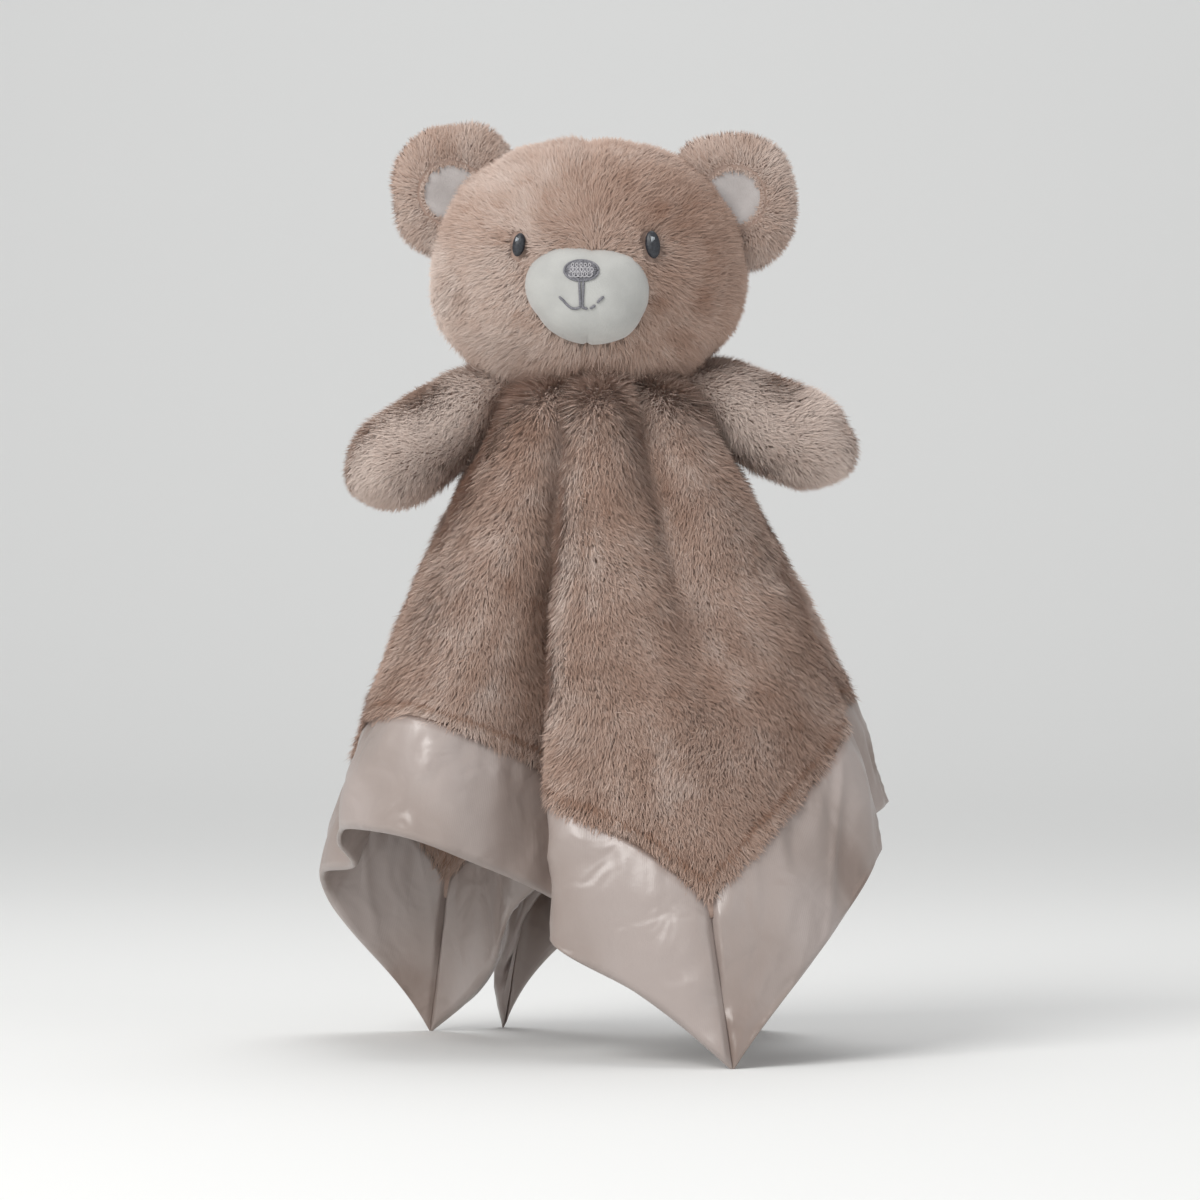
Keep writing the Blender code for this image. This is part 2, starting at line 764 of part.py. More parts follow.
def build_face(group, cutters, finishes, head):
    made = []
    z = head_centre_z - muzzle_drop
    centre = Vector((muzzle_x, head_front_depth(muzzle_x, z) + muzzle_sink, z))
    outer = Vector((muzzle_half_width, muzzle_half_depth, muzzle_half_height))
    wall = Vector((muzzle_skin, muzzle_skin, muzzle_skin))
    gap = Vector((seam_gap, seam_gap, seam_gap))
    stuffing = finishes["fill"]
    hollow = ellipsoid("muzzle_hollow", centre, outer - wall, cutters, stuffing, muzzle_sides)
    cutter_look(hollow)
    cover = ellipsoid("muzzle_seat", centre, outer + gap, cutters, stuffing, muzzle_sides)
    cutter_look(cover)
    patch = ellipsoid("muzzle_patch", centre, outer, group, finishes["velour"], muzzle_sides)
    cut(patch, head, "seat_on_head")
    cut(patch, hollow, "hollow")
    fill = ellipsoid("muzzle_fill", centre, outer - wall - gap, group, stuffing, muzzle_sides)
    cut(fill, head, "seat_on_head")
    made.extend((patch, fill))

    nose_x = centre.x + nose_shift
    nose_z = centre.z + nose_rise
    nose_at = Vector((nose_x, muzzle_front(nose_x, nose_z, centre, 0), nose_z))
    outward = Vector(((nose_x - centre.x) / outer.x**2, (nose_at.y - centre.y) / outer.y**2,
                      (nose_z - centre.z) / outer.z**2)).normalized()
    radii = (nose_half_width, nose_half_depth, nose_half_height)
    nose = ellipsoid("nose_embroidery", nose_at, radii, group, finishes["thread"],
                     nose_sides, outward)
    cut(nose, cover, "seat_on_muzzle")
    made.append(nose)

    proud = thread_radius / 2 + seam_gap
    stem_top = nose_z - nose_half_height - thread_radius * 2
    smile_z = stem_top - mouth_stem
    stem = []
    for k in range(stem_pieces):
        z = stem_top - (mouth_stem - thread_radius * 2) * k / stem_pieces
        stem.append(Vector((nose_x, muzzle_front(nose_x, z, centre, proud), z)))
    smile = []
    for k in range(-smile_pieces, smile_pieces + 1):
        share = k / smile_pieces
        x = nose_x + smile_half_width * share
        z = smile_z - thread_radius + smile_rise * share**2
        smile.append(Vector((x, muzzle_front(x, z, centre, proud), z)))
    for name, route in (("mouth_stem", stem), ("mouth_smile", smile)):
        mouth = tube(f"{name}_embroidery", route, thread_radius, group, finishes["thread"])
        cut(mouth, cover, "seat_on_muzzle")
        made.append(mouth)

    for label, side in (("left", -1), ("right", 1)):
        x = eye_line_x + side * eye_spread
        z = head_centre_z + eye_rise
        at = Vector((x, head_front_depth(x, z), z))
        slant = Vector(((x - head_centre_x) / head_half_width**2,
                        (at.y - head_centre_y) / head_half_depth**2,
                        (z - head_centre_z) / head_half_height**2)).normalized()
        radii = (eye_half_width, eye_half_depth, eye_half_height)
        eye = ellipsoid(f"eye_{label}", at, radii, group, finishes["eye"], eye_sides, slant)
        cut(eye, head, "seat_on_head")
        made.append(eye)
    return made


def hang_on(pieces, name, place, group):
    """Parent pieces to an empty that stands on their joint's axis."""
    pivot = bpy.data.objects.new(name, None)
    pivot.location = place
    pivot.empty_display_size = neck_radius
    group.objects.link(pivot)
    for piece in pieces:
        piece.parent = pivot
        piece.matrix_parent_inverse = Matrix.Translation(place).inverted()


def centre_footprint(group, cutters):
    """Move everything so that the origin is under the middle of the object."""
    bpy.context.view_layer.update()
    graph = bpy.context.evaluated_depsgraph_get()
    corners = []
    for made in group.objects:
        if made.type == "MESH":
            shown = made.evaluated_get(graph)
            corners.extend(made.matrix_world @ Vector(corner) for corner in shown.bound_box)
    middle = Vector((0, 0, 0))
    for axis in (0, 1):
        places = [corner[axis] for corner in corners]
        middle[axis] = (min(places) + max(places)) / 2
    for made in (*group.objects, *cutters.objects):
        if made.parent is None:
            made.location -= middle


def build():
    for old in list(bpy.data.objects):
        bpy.data.objects.remove(old)
    group = collection("comfort_blanket_lovey")
    cutters = collection("cutters")
    finishes = {
        "plush": material("plush", (0.42, 0.29, 0.23), 0.95, sheen=0.3),
        "satin": material("satin", (0.46, 0.37, 0.33), 0.35),
        "velour": material("velour", (0.70, 0.69, 0.66), 0.9, sheen=0.2),
        "lining": material("lining", (0.55, 0.51, 0.50), 0.8, sheen=0.2),
        "thread": material("thread", (0.14, 0.14, 0.16), 0.6),
        "eye": material("eye", (0.06, 0.06, 0.07), 0.4),
        "fill": material("fill", (0.85, 0.85, 0.83), 1.0),
    }
    build_blanket(group, cutters, finishes)
    head_pieces, envelope = build_head(group, cutters, finishes)
    head_pieces.extend(build_face(group, cutters, finishes, envelope))
    for label, x, rise in (("left", ear_left_x, ear_left_rise),
                           ("right", ear_right_x, ear_right_rise)):
        centre = Vector((x, head_centre_y, head_centre_z + rise))
        head_pieces.extend(build_ear(label, centre, group, cutters, finishes, envelope))
    hang_on(head_pieces, "neck_pivot", Vector((head_centre_x, head_centre_y, neck_height)), group)
    for label, side, shares in (("left", -1, left_arm_shares), ("right", 1, right_arm_shares)):
        seam = shoulder_seam(side, shares)
        pieces = build_arm(label, seam, side, shares, group, cutters, finishes)
        hang_on(pieces, f"shoulder_{label}_pivot", seam, group)
    centre_footprint(group, cutters)


build()
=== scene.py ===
import json
import math

import bpy
import numpy as np
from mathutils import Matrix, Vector


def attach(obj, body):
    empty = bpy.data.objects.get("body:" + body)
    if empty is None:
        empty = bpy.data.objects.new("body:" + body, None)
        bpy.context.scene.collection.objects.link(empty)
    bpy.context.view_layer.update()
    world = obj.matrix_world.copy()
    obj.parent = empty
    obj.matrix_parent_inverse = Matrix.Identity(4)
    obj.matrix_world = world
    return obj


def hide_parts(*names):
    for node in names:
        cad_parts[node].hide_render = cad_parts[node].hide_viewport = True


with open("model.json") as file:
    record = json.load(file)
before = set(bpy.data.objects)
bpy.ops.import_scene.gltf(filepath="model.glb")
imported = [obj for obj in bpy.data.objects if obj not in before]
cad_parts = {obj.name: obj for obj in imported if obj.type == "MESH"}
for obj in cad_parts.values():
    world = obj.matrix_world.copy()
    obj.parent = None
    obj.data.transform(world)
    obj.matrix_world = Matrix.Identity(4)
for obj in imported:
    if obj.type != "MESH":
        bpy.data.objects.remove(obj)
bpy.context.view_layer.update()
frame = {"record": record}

mm = 0.001
joints = {joint["name"]: joint for joint in frame["record"]["behaviour"]["joints"]}

# where the neck stands; the head's middle is a little to its left
headOffset = 3 * mm
neck = np.array(joints["head_turn"]["pos_m"]) + np.array((headOffset, 0, 0))
down = np.array((0, 0, -1.0))


# shader nodes

def addNode(tree, kind, values=(), feeds=()):
    # a node with socket values, and with the outputs that feed it
    made = tree.nodes.new("ShaderNode" + kind)
    for socket, value in dict(values).items():
        made.inputs[socket].default_value = value
    for socket, output in dict(feeds).items():
        tree.links.new(output, made.inputs[socket])
    return made


def addNoise(tree, scale, detail=2, distortion=0):
    place = tree.nodes.new("ShaderNodeTexCoord")
    values = {"Scale": scale, "Detail": detail, "Distortion": distortion}
    return addNode(tree, "TexNoise", values, {"Vector": place.outputs["Object"]}).outputs["Fac"]


def addRamp(tree, level, stops, mode="EASE"):
    made = addNode(tree, "ValToRGB", (), {"Fac": level})
    made.color_ramp.interpolation = mode
    elements = made.color_ramp.elements
    while len(elements) < len(stops):
        elements.new(0.5)
    for element, (place, colour) in zip(elements, stops):
        element.position = place
        element.color = (*colour, 1)
    return made.outputs["Color"]


def addBump(tree, height, strength, distance, under=None):
    feeds = {"Height": height}
    if under is not None:
        feeds["Normal"] = under
    values = {"Strength": strength, "Distance": distance}
    return addNode(tree, "Bump", values, feeds).outputs["Normal"]


def addProduct(tree, first, second):
    mix = tree.nodes.new("ShaderNodeMix")
    mix.data_type = "RGBA"
    mix.blend_type = "MULTIPLY"
    mix.inputs["Factor"].default_value = 1
    tree.links.new(first, mix.inputs["A"])
    tree.links.new(second, mix.inputs["B"])
    return mix.outputs["Result"]


def ownMap(tree, name):
    # a piece's own map, whole and split into its two directions
    place = tree.nodes.new("ShaderNodeUVMap")
    place.uv_map = name
    parts = addNode(tree, "SeparateXYZ", (), {"Vector": place.outputs["UV"]})
    return place.outputs["UV"], parts.outputs["X"], parts.outputs["Y"]


def plainMaterial(name, colour, roughness, values=()):
    made = bpy.data.materials.new(name)
    made.use_nodes = True
    shader = made.node_tree.nodes["Principled BSDF"]
    shader.inputs["Base Color"].default_value = (*colour, 1)
    shader.inputs["Roughness"].default_value = roughness
    for socket, value in dict(values).items():
        shader.inputs[socket].default_value = value
    return made, made.node_tree, shader


# camera, floor and light

viewLook = {
    "distance": 2.0,           # camera in front of the neck
    "height": 0.1656,
    "across": 1.1 * mm,        # camera to the right of the neck
    "lens": 162.16,
    "sensor": 36,
    "clip": (0.05, 60),
    "floorWide": 50,
    "floorDeep": 30,
    "floorEnd": 5,             # where the backdrop stands
    "backdrop": 6,
    "backdropCurve": 2.5,
    "floorTones": ((0.87, 0.875, 0.87), (0.83, 0.835, 0.83)),   # near, far
    "floorFade": (0.3, 3.2),   # the tone changes between these depths
    "worldStrength": 0.48,
}
toyMiddle = (0, 0, 0.18)
# place, aim, size, power, tint
viewLights = {
    "keyLight": ((-1.2, -1.5, 1.5), toyMiddle, 1.5, 35, (1, 0.99, 0.97)),
    "fillLight": ((1.6, -1.6, 0.8), toyMiddle, 1.6, 5, (0.97, 0.98, 1)),
    "topLight": ((0.1, 0.5, 1.9), toyMiddle, 1.4, 9, (1, 1, 1)),
    "backLight": ((0, 2.6, 2.6), (0, 5, 1.2), 2.4, 19, (1, 1, 1)),
}


def addCamera(look):
    bpy.ops.object.camera_add(location=(neck[0] + look["across"], neck[1] - look["distance"],
                                        look["height"]), rotation=(math.pi / 2, 0, 0))
    camera = bpy.context.object
    camera.name = "photoCamera"
    camera.data.lens = look["lens"]
    camera.data.sensor_width = look["sensor"]
    camera.data.clip_start, camera.data.clip_end = look["clip"]
    bpy.context.scene.camera = camera


def floorMaterial(look):
    near, far = look["floorTones"]
    made, tree, shader = plainMaterial("paleStage", near, 0.9)
    grain = addNode(tree, "TexNoise", {"Scale": 3})
    rough = addNode(tree, "MapRange", {"To Min": 0.86, "To Max": 0.94},
                    {"Value": grain.outputs["Fac"]})
    tree.links.new(rough.outputs["Result"], shader.inputs["Roughness"])
    # a little darker towards the back, where the back light falls
    place = tree.nodes.new("ShaderNodeTexCoord")
    parts = addNode(tree, "SeparateXYZ", (), {"Vector": place.outputs["Object"]})
    start, end = look["floorFade"]
    depth = addNode(tree, "MapRange", {"From Min": start, "From Max": end},
                    {"Value": parts.outputs["Y"]})
    depth.interpolation_type = "SMOOTHSTEP"
    tones = tree.nodes.new("ShaderNodeMix")
    tones.data_type = "RGBA"
    tones.inputs["A"].default_value = (*near, 1)
    tones.inputs["B"].default_value = (*far, 1)
    tree.links.new(depth.outputs["Result"], tones.inputs["Factor"])
    tree.links.new(tones.outputs["Result"], shader.inputs["Base Color"])
    return made


def addStage(look):
    # a floor that turns up into a backdrop far behind
    bpy.ops.object.select_all(action="DESELECT")
    bpy.ops.mesh.primitive_plane_add(size=1, location=(0, 0, 0))
    floor = bpy.context.object
    floor.name = "paleFloor"
    bpy.ops.object.mode_set(mode="EDIT")
    bpy.ops.mesh.select_all(action="SELECT")
    bpy.ops.transform.resize(value=(look["floorWide"], look["floorDeep"], 1))
    bpy.ops.transform.translate(value=(0, look["floorEnd"] - look["floorDeep"] / 2, 0))
    bpy.ops.mesh.select_all(action="DESELECT")
    bpy.ops.object.mode_set(mode="OBJECT")
    nearEnd = look["floorEnd"] - 0.1
    for edge in floor.data.edges:
        edge.select = min(floor.data.vertices[k].co.y for k in edge.vertices) > nearEnd
    for vert in floor.data.vertices:
        vert.select = vert.co.y > nearEnd
    bpy.ops.object.mode_set(mode="EDIT")
    bpy.ops.mesh.extrude_region_move(
        TRANSFORM_OT_translate={"value": (0, 0, look["backdrop"])})
    bpy.ops.mesh.select_all(action="DESELECT")
    bpy.ops.object.mode_set(mode="OBJECT")
    for vert in floor.data.vertices:
        vert.select = vert.co.y > nearEnd and vert.co.z < 0.1
    bpy.ops.object.mode_set(mode="EDIT")
    bpy.ops.mesh.bevel(offset=look["backdropCurve"], segments=16, affect="EDGES")
    bpy.ops.object.mode_set(mode="OBJECT")
    bpy.ops.object.shade_smooth()
    floor.data.materials.append(floorMaterial(look))


def addLight(look, lights):
    world = bpy.data.worlds.new("softRoom")
    world.use_nodes = True
    background = world.node_tree.nodes["Background"]
    background.inputs["Color"].default_value = (1, 1, 1, 1)
    background.inputs["Strength"].default_value = look["worldStrength"]
    bpy.context.scene.world = world
    for name, (place, aim, size, power, tint) in lights.items():
        bpy.ops.object.light_add(type="AREA", location=place)
        light = bpy.context.object
        light.name = name
        light.data.shape = "DISK"
        light.data.size = size
        light.data.energy = power
        light.data.color = tint
        ahead = Vector(aim) - Vector(place)
        light.rotation_euler = ahead.to_track_quat("-Z", "Y").to_euler()


bpy.context.scene.view_settings.view_transform = "Standard"
addCamera(viewLook)
addStage(viewLook)
addLight(viewLook, viewLights)
print("camera, floor and light ready")


# noise and curves

noiseSide = 32
noiseGrid = np.random.default_rng(7).random((noiseSide,) * 3) * 2 - 1


def softNoise(points, shift=0.0):
    # smooth noise from -1 to 1, one cell to a unit
    places = np.asarray(points) + shift
    low = np.floor(places).astype(int)
    part = places - low
    part = part * part * (3 - 2 * part)
    total = 0
    for dx in (0, 1):
        for dy in (0, 1):
            for dz in (0, 1):
                corner = (low + (dx, dy, dz)) % noiseSide
                value = noiseGrid[corner[..., 0], corner[..., 1], corner[..., 2]]
                weight = ((part[..., 0] if dx else 1 - part[..., 0])
                          * (part[..., 1] if dy else 1 - part[..., 1])
                          * (part[..., 2] if dz else 1 - part[..., 2]))
                total = total + value * weight
    return total


def noiseAt(shift, *parts):
    # soft noise at places given as three parts, which are spread over each other
    return softNoise(np.stack(np.broadcast_arrays(*parts), axis=-1), shift)


def bell(values, width):
    return np.exp(-((values / width) ** 2))


def unit(vectors):
    return vectors / np.maximum(np.linalg.norm(vectors, axis=-1, keepdims=True), 1e-12)


def smoothStep(values, low, high):
    share = np.clip((values - low) / (high - low), 0, 1)
    return share * share * (3 - 2 * share)


# meshes

def startEditing(made):
    bpy.ops.object.select_all(action="DESELECT")
    bpy.context.view_layer.objects.active = made
    made.select_set(True)
    bpy.ops.object.mode_set(mode="EDIT")
    bpy.ops.mesh.select_all(action="SELECT")


def outwards(made, weld=0.0):
    # faces agree and point out
    startEditing(made)
    if weld:
        bpy.ops.mesh.remove_doubles(threshold=weld)
    bpy.ops.mesh.normals_make_consistent(inside=False)
    bpy.ops.object.mode_set(mode="OBJECT")


def addMesh(name, points, faces, finish):
    mesh = bpy.data.meshes.new(name)
    mesh.from_pydata([tuple(point) for point in points], [], [tuple(face) for face in faces])
    mesh.validate()
    mesh.shade_smooth()
    mesh.materials.append(finish)
    made = bpy.data.objects.new(name, mesh)
    bpy.context.scene.collection.objects.link(made)
    return made


def gridFaces(rows, columns, closedRows=False, closedColumns=False):
    faces = []
    for row in range(rows if closedRows else rows - 1):
        for column in range(columns if closedColumns else columns - 1):
            nextRow = (row + 1) % rows
            nextColumn = (column + 1) % columns
            faces.append((row * columns + column, row * columns + nextColumn,
                          nextRow * columns + nextColumn, nextRow * columns + column))
    return faces


def addBall(name, segments, rings, shape, finish):
    # a ball whose every vertex is moved by shape
    bpy.ops.object.select_all(action="DESELECT")
    bpy.ops.mesh.primitive_uv_sphere_add(segments=segments, ring_count=rings, radius=1)
    made = bpy.context.object
    made.name = name
    made.data.name = name
    for vert in made.data.vertices:
        vert.co = shape(*vert.co)
    made.data.materials.append(finish)
    bpy.ops.object.shade_smooth()
    return made


# plush: fur blades and the cloth under them

furLook = {
    "dark": (0.370, 0.222, 0.160),
    "middle": (0.545, 0.390, 0.318),
    "light": (0.750, 0.630, 0.565),
    "backing": ((0.35, 0.245, 0.20), (0.44, 0.325, 0.275)),
    # painted shade: blades darker at the root and a little at the middle, where the pile shades
    # itself
    "rootShade": 0.76,
    "midShade": 0.88,
    "sheen": 0.6,
    "sheenTint": (1.0, 0.78, 0.68, 1),
    "most": 96000,             # blades to a piece
    # least and spread of a blade's length and width, in shares of the piece's own
    "lengths": (0.65, 0.7),
    "widths": (0.6, 0.8),
    # waves through the pile: strength and size
    "lengthWaves": (0.25, 9 * mm),
    "liftWaves": (0.18, 12 * mm),
    "toneWaves": (0.22, 26 * mm),
    "toneRipples": (0.15, 8 * mm),
    "liftLimits": (0.12, 1.45),
    "twist": 0.28,
    "clumpTone": 0.05,         # how far clumps and single blades differ in tone
    "bladeTone": 0.06,
    "glints": 0.08,            # how far single blades differ in the way they catch light
    "creaseAt": 6.2 * mm,      # painted shade in a crease along the edge of a cloth
    "creaseWidth": 0.8 * mm,
    "creaseShade": 0.55,
    "rollWidth": 4.8 * mm,     # painted highlight on a paler roll beyond the crease
    "roll": 0.10,
}


def furMaterial(name, look):
    # the blades' own map holds a tone across and root to tip upwards
    made, tree, shader = plainMaterial(name, look["middle"], 0.9, {
        "Sheen Weight": look["sheen"], "Sheen Roughness": 0.4, "Sheen Tint": look["sheenTint"],
        "Specular IOR Level": 0.15})
    _, toneLevel, height = ownMap(tree, "OFBake")
    tone = addRamp(tree, toneLevel, ((0.0, look["dark"]), (0.5, look["middle"]),
                                     (1.0, look["light"])), "LINEAR")
    # painted shade along each blade, darker towards the root
    depth = addRamp(tree, height, ((0.0, (look["rootShade"],) * 3),
                                   (0.6, (look["midShade"],) * 3), (1.0, (1.0,) * 3)))
    tree.links.new(addProduct(tree, tone, depth), shader.inputs["Base Color"])
    return made


def clothMaterial(name, tones, scale, roughness, sheen, pileScale, pileHeight):
    # mottled pile under the fur, and short velour
    made, tree, shader = plainMaterial(name, tones[0], roughness, {
        "Sheen Weight": sheen, "Sheen Roughness": 0.45, "Specular IOR Level": 0.2})
    tone = addRamp(tree, addNoise(tree, scale, 6), ((0.3, tones[0]), (0.7, tones[1])), "LINEAR")
    tree.links.new(tone, shader.inputs["Base Color"])
    pile = addBump(tree, addNoise(tree, pileScale, 4), 0.6, pileHeight)
    tree.links.new(pile, shader.inputs["Normal"])
    return made


plushFur = furMaterial("plushFur", furLook)
plushBacking = clothMaterial("plushBacking", furLook["backing"], 60, 0.95, 0.2, 900, 0.4 * mm)


def meshArrays(base):
    mesh = base.data
    mesh.calc_loop_triangles()
    count = len(mesh.vertices)
    places = np.empty(count * 3)
    mesh.vertices.foreach_get("co", places)
    normals = np.empty(count * 3)
    mesh.vertices.foreach_get("normal", normals)
    corners = np.empty(len(mesh.loop_triangles) * 3, dtype=np.int64)
    mesh.loop_triangles.foreach_get("vertices", corners)
    return places.reshape(-1, 3), normals.reshape(-1, 3), corners.reshape(-1, 3)


def scatterRoots(base, look, keep, edge, rng):
    # roots spread evenly over a mesh, each with its normal and its distance to the edge
    places, normals, corners = meshArrays(base)
    a, b, c = (places[corners[:, k]] for k in range(3))
    facing = np.cross(b - a, c - a)
    area = np.linalg.norm(facing, axis=1) / 2
    if keep is not None:
        area = area * keep((a + b + c) / 3, unit(facing))
    count = min(int(area.sum() / mm**2 * look["density"]), furLook["most"])
    face = np.searchsorted(np.cumsum(area) / area.sum(), rng.random(count))
    u, v = rng.random(count), rng.random(count)
    flip = u + v > 1
    u[flip], v[flip] = 1 - u[flip], 1 - v[flip]
    ring = corners[face]

    def carried(values):
        return (values[ring[:, 0]] * (1 - u - v)[:, None] + values[ring[:, 1]] * u[:, None]
                + values[ring[:, 2]] * v[:, None])

    toEdge = None if edge is None else carried(edge[:, None])[:, 0]
    return carried(places), unit(carried(normals)), toEdge


def gatherClumps(root, size):
    # number of the clump of each blade, and blades to a clump
    wobble = np.stack([softNoise(root / size, shift) for shift in (1.1, 8.2, 15.3)], axis=1)
    key = np.floor((root + wobble * size * 0.6) / size).astype(np.int64)
    key = key[:, 0] * 7919 * 7919 + key[:, 1] * 7919 + key[:, 2]
    _, group = np.unique(key, return_inverse=True)
    return group, np.bincount(group)


def addBlades(name, points, tone, lit):
    # four-cornered blades, lit as the given normals say
    count = len(tone)
    mesh = bpy.data.meshes.new(name)
    mesh.vertices.add(count * 4)
    mesh.vertices.foreach_set("co", points.ravel())
    mesh.loops.add(count * 4)
    mesh.loops.foreach_set("vertex_index", np.arange(count * 4, dtype=np.int32))
    mesh.polygons.add(count)
    mesh.polygons.foreach_set("loop_start", np.arange(count, dtype=np.int32) * 4)
    mesh.update(calc_edges=True)
    upwards = np.tile(np.array([0.01, 0.5, 0.99, 0.5]), count)
    toneMap = mesh.uv_layers.new(name="OFBake")
    toneMap.data.foreach_set("uv", np.stack([np.repeat(tone, 4), upwards], axis=1).ravel())
    mesh.validate()
    mesh.shade_smooth()
    mesh.normals_split_custom_set_from_vertices(np.repeat(lit, 4, axis=0).tolist())
    mesh.materials.append(plushFur)
    made = bpy.data.objects.new(name, mesh)
    bpy.context.scene.collection.objects.link(made)
    return made


def pileWaves(name, root, shift):
    strength, size = furLook[name]
    return strength * softNoise(root / size, shift)


def spread(name, rng, count):
    least, rest = furLook[name]
    return least + rest * rng.random(count)


def growFur(name, base, body, look, comb, keep=None, seed=1, edge=None):
    rng = np.random.default_rng(seed)
    root, up, toEdge = scatterRoots(base, look, keep, edge, rng)
    count = len(root)
    along = comb(root, up)
    along = unit(along - up * (along * up).sum(1, keepdims=True))
    side = np.cross(up, along)
    swirl = (look["swirl"] * softNoise(root / look["swirlSize"], 3.7)
             + look["stray"] * rng.normal(size=count))[:, None]
    along = along * np.cos(swirl) + side * np.sin(swirl)
    side = np.cross(up, along)
    length = look["length"] * spread("lengths", rng, count)
    length = (length * (1 + pileWaves("lengthWaves", root, 11.3)))[:, None]
    if look.get("lengthAt"):
        length = length * look["lengthAt"](root)[:, None]
    lift = (look["lift"] + look["liftSpread"] * rng.normal(size=count)
            + pileWaves("liftWaves", root, 5.1))[:, None]
    if look.get("liftAt"):
        lift = lift + look["liftAt"](root)[:, None]
    lift = np.clip(lift, *furLook["liftLimits"])
    bent = lift * look["bend"]
    knee = root + length * 0.5 * (up * np.sin(lift) + along * np.cos(lift))
    tip = knee + length * 0.5 * (up * np.sin(bent) + along * np.cos(bent))
    # tips lean to the middle of their clump
    group, sizes = gatherClumps(root, look["clumpSize"])
    heart = np.stack([np.bincount(group, weights=tip[:, k]) / sizes for k in range(3)], axis=1)
    tip = tip + (heart[group] - tip) * look["clump"]
    knee = knee + (heart[group] - knee) * look["clump"] * 0.25
    groupTone = np.random.default_rng(seed + 50).normal(size=len(sizes))[group]
    turned = rng.normal(size=count)[:, None] * furLook["twist"]
    width = look["width"] * spread("widths", rng, count)[:, None] / 2
    half = unit(side + up * turned) * width
    belly = root + (knee - root) * 0.8
    points = np.stack([root, belly - half, tip, belly + half], axis=1).reshape(-1, 3)
    tone = (look["tone"] + pileWaves("toneWaves", root, 2.2)
            + pileWaves("toneRipples", root, 9.4) + furLook["clumpTone"] * groupTone
            + furLook["bladeTone"] * rng.normal(size=count))
    # painted shade in the crease by the satin edge, and a painted highlight on the roll beyond it
    if toEdge is not None:
        crease = bell(toEdge - furLook["creaseAt"], furLook["creaseWidth"])
        tone = tone - furLook["creaseShade"] * crease \
            + furLook["roll"] * (toEdge < furLook["rollWidth"])
    if look.get("toneAt"):
        tone = tone + look["toneAt"](root, up)
    # the pile is lit like the piece under it, a little broken up
    flat = unit(np.cross(side, tip - root))
    flat = flat * np.sign((flat * up).sum(1, keepdims=True))
    lit = unit(up * (1 - look["broken"]) + flat * look["broken"]
               + rng.normal(size=(count, 3)) * furLook["glints"])
    made = addBlades(name, points, np.clip(tone, 0.02, 0.98), lit)
    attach(made, body)
    print(name, count, "blades")
    return made


# blanket: two plush layers hanging in folds from the neck

blanketLook = {
    "side": 400 * mm,
    "binding": 38 * mm,
    "lip": 6 * mm,             # satin over the plush
    "shoulder": 33 * mm,       # where the cloth turns to hang
    "softTurn": 6.0,           # near the neck the folds are softened by this turn
    "soft": 110 * mm,
    "spread": 30 * mm,         # gathers at the neck
    "hole": 5 * mm,
    "billow": 14 * mm,         # the skirt swells between these distances
    "billowFrom": 30 * mm,
    "billowTo": 250 * mm,
    "turns": 360,
    "rows": 60,
    "ripple": 2.2 * mm,        # small waves in the cloth
    "pleat": 1.5 * mm,         # gathers under the chin
    "valleyTurn": 16,          # the main valley, and how far it lies to the left
    "valleyWidth": 9,
    "valleyShift": 4.5 * mm,
    "clear": 0.15 * mm,        # half the gap between the two layers
    "thick": 1.5 * mm,
    "furFrom": 14 * mm,        # the fur starts this far from the middle
}

# turn round the flat square, and where that fold line ends, sideways and back
foldShares = (
    (0, 0.178, -0.340), (8, 0.055, -0.310), (15, -0.075, -0.255), (19, -0.055, -0.180),
    (23, -0.045, -0.110), (29, -0.110, -0.140), (38, -0.260, -0.240), (46, -0.360, -0.220),
    (54, -0.440, -0.120), (61, -0.440, -0.010), (67, -0.405, 0.085), (73, -0.457, 0.190),
    (79, -0.428, 0.270), (90, -0.230, 0.291), (97, -0.155, 0.205), (108, -0.120, 0.010),
    (120, -0.035, -0.085), (132, 0.030, -0.010), (145, -0.015, 0.150), (160, -0.095, 0.262),
    (171, -0.148, 0.306), (176, -0.164, 0.334), (180, -0.143, 0.350), (185, -0.112, 0.345),
    (190, -0.070, 0.312), (195, -0.012, 0.242), (201, 0.035, 0.150), (206, 0.072, 0.125),
    (211, 0.092, 0.180), (217, 0.076, 0.365), (225, 0.104, 0.476), (234, 0.152, 0.395),
    (244, 0.146, 0.155), (250, 0.176, 0.110), (257, 0.205, 0.185), (264, 0.198, 0.260),
    (270, 0.222, 0.306), (275, 0.272, 0.272), (281, 0.305, 0.190), (286, 0.288, 0.080),
    (291, 0.276, 0.000), (296, 0.318, -0.008), (301, 0.395, 0.045), (306, 0.475, 0.090),
    (311, 0.520, 0.080), (317, 0.510, 0.020), (325, 0.445, -0.050), (335, 0.480, -0.145),
    (347, 0.380, -0.255),
)
# turn round the flat square, and which way the gathered cloth leaves the neck there
gatherBearings = ((0, -67), (45, -142), (90, -205), (180, -270), (270, -320), (292, -346),
                  (316, -364), (335, -380))
# extra folds that fade before the border: turn, width in turns, height, and where they fade
gatherFolds = ((357, 6, -9.5 * mm, 200 * mm), (10, 6, 3.0 * mm, 170 * mm),
               (23, 5, -6.5 * mm, 185 * mm), (38, 8, 2.5 * mm, 120 * mm),
               (338, 9, 3.0 * mm, 150 * mm), (62, 7, -2.0 * mm, 120 * mm),
               (322, 6, -2.0 * mm, 110 * mm), (200, 8, -2.5 * mm, 130 * mm),
               (170, 9, 2.0 * mm, 130 * mm))
plushHalf = blanketLook["side"] / 2 - blanketLook["binding"]
lipHalf = plushHalf - blanketLook["lip"]


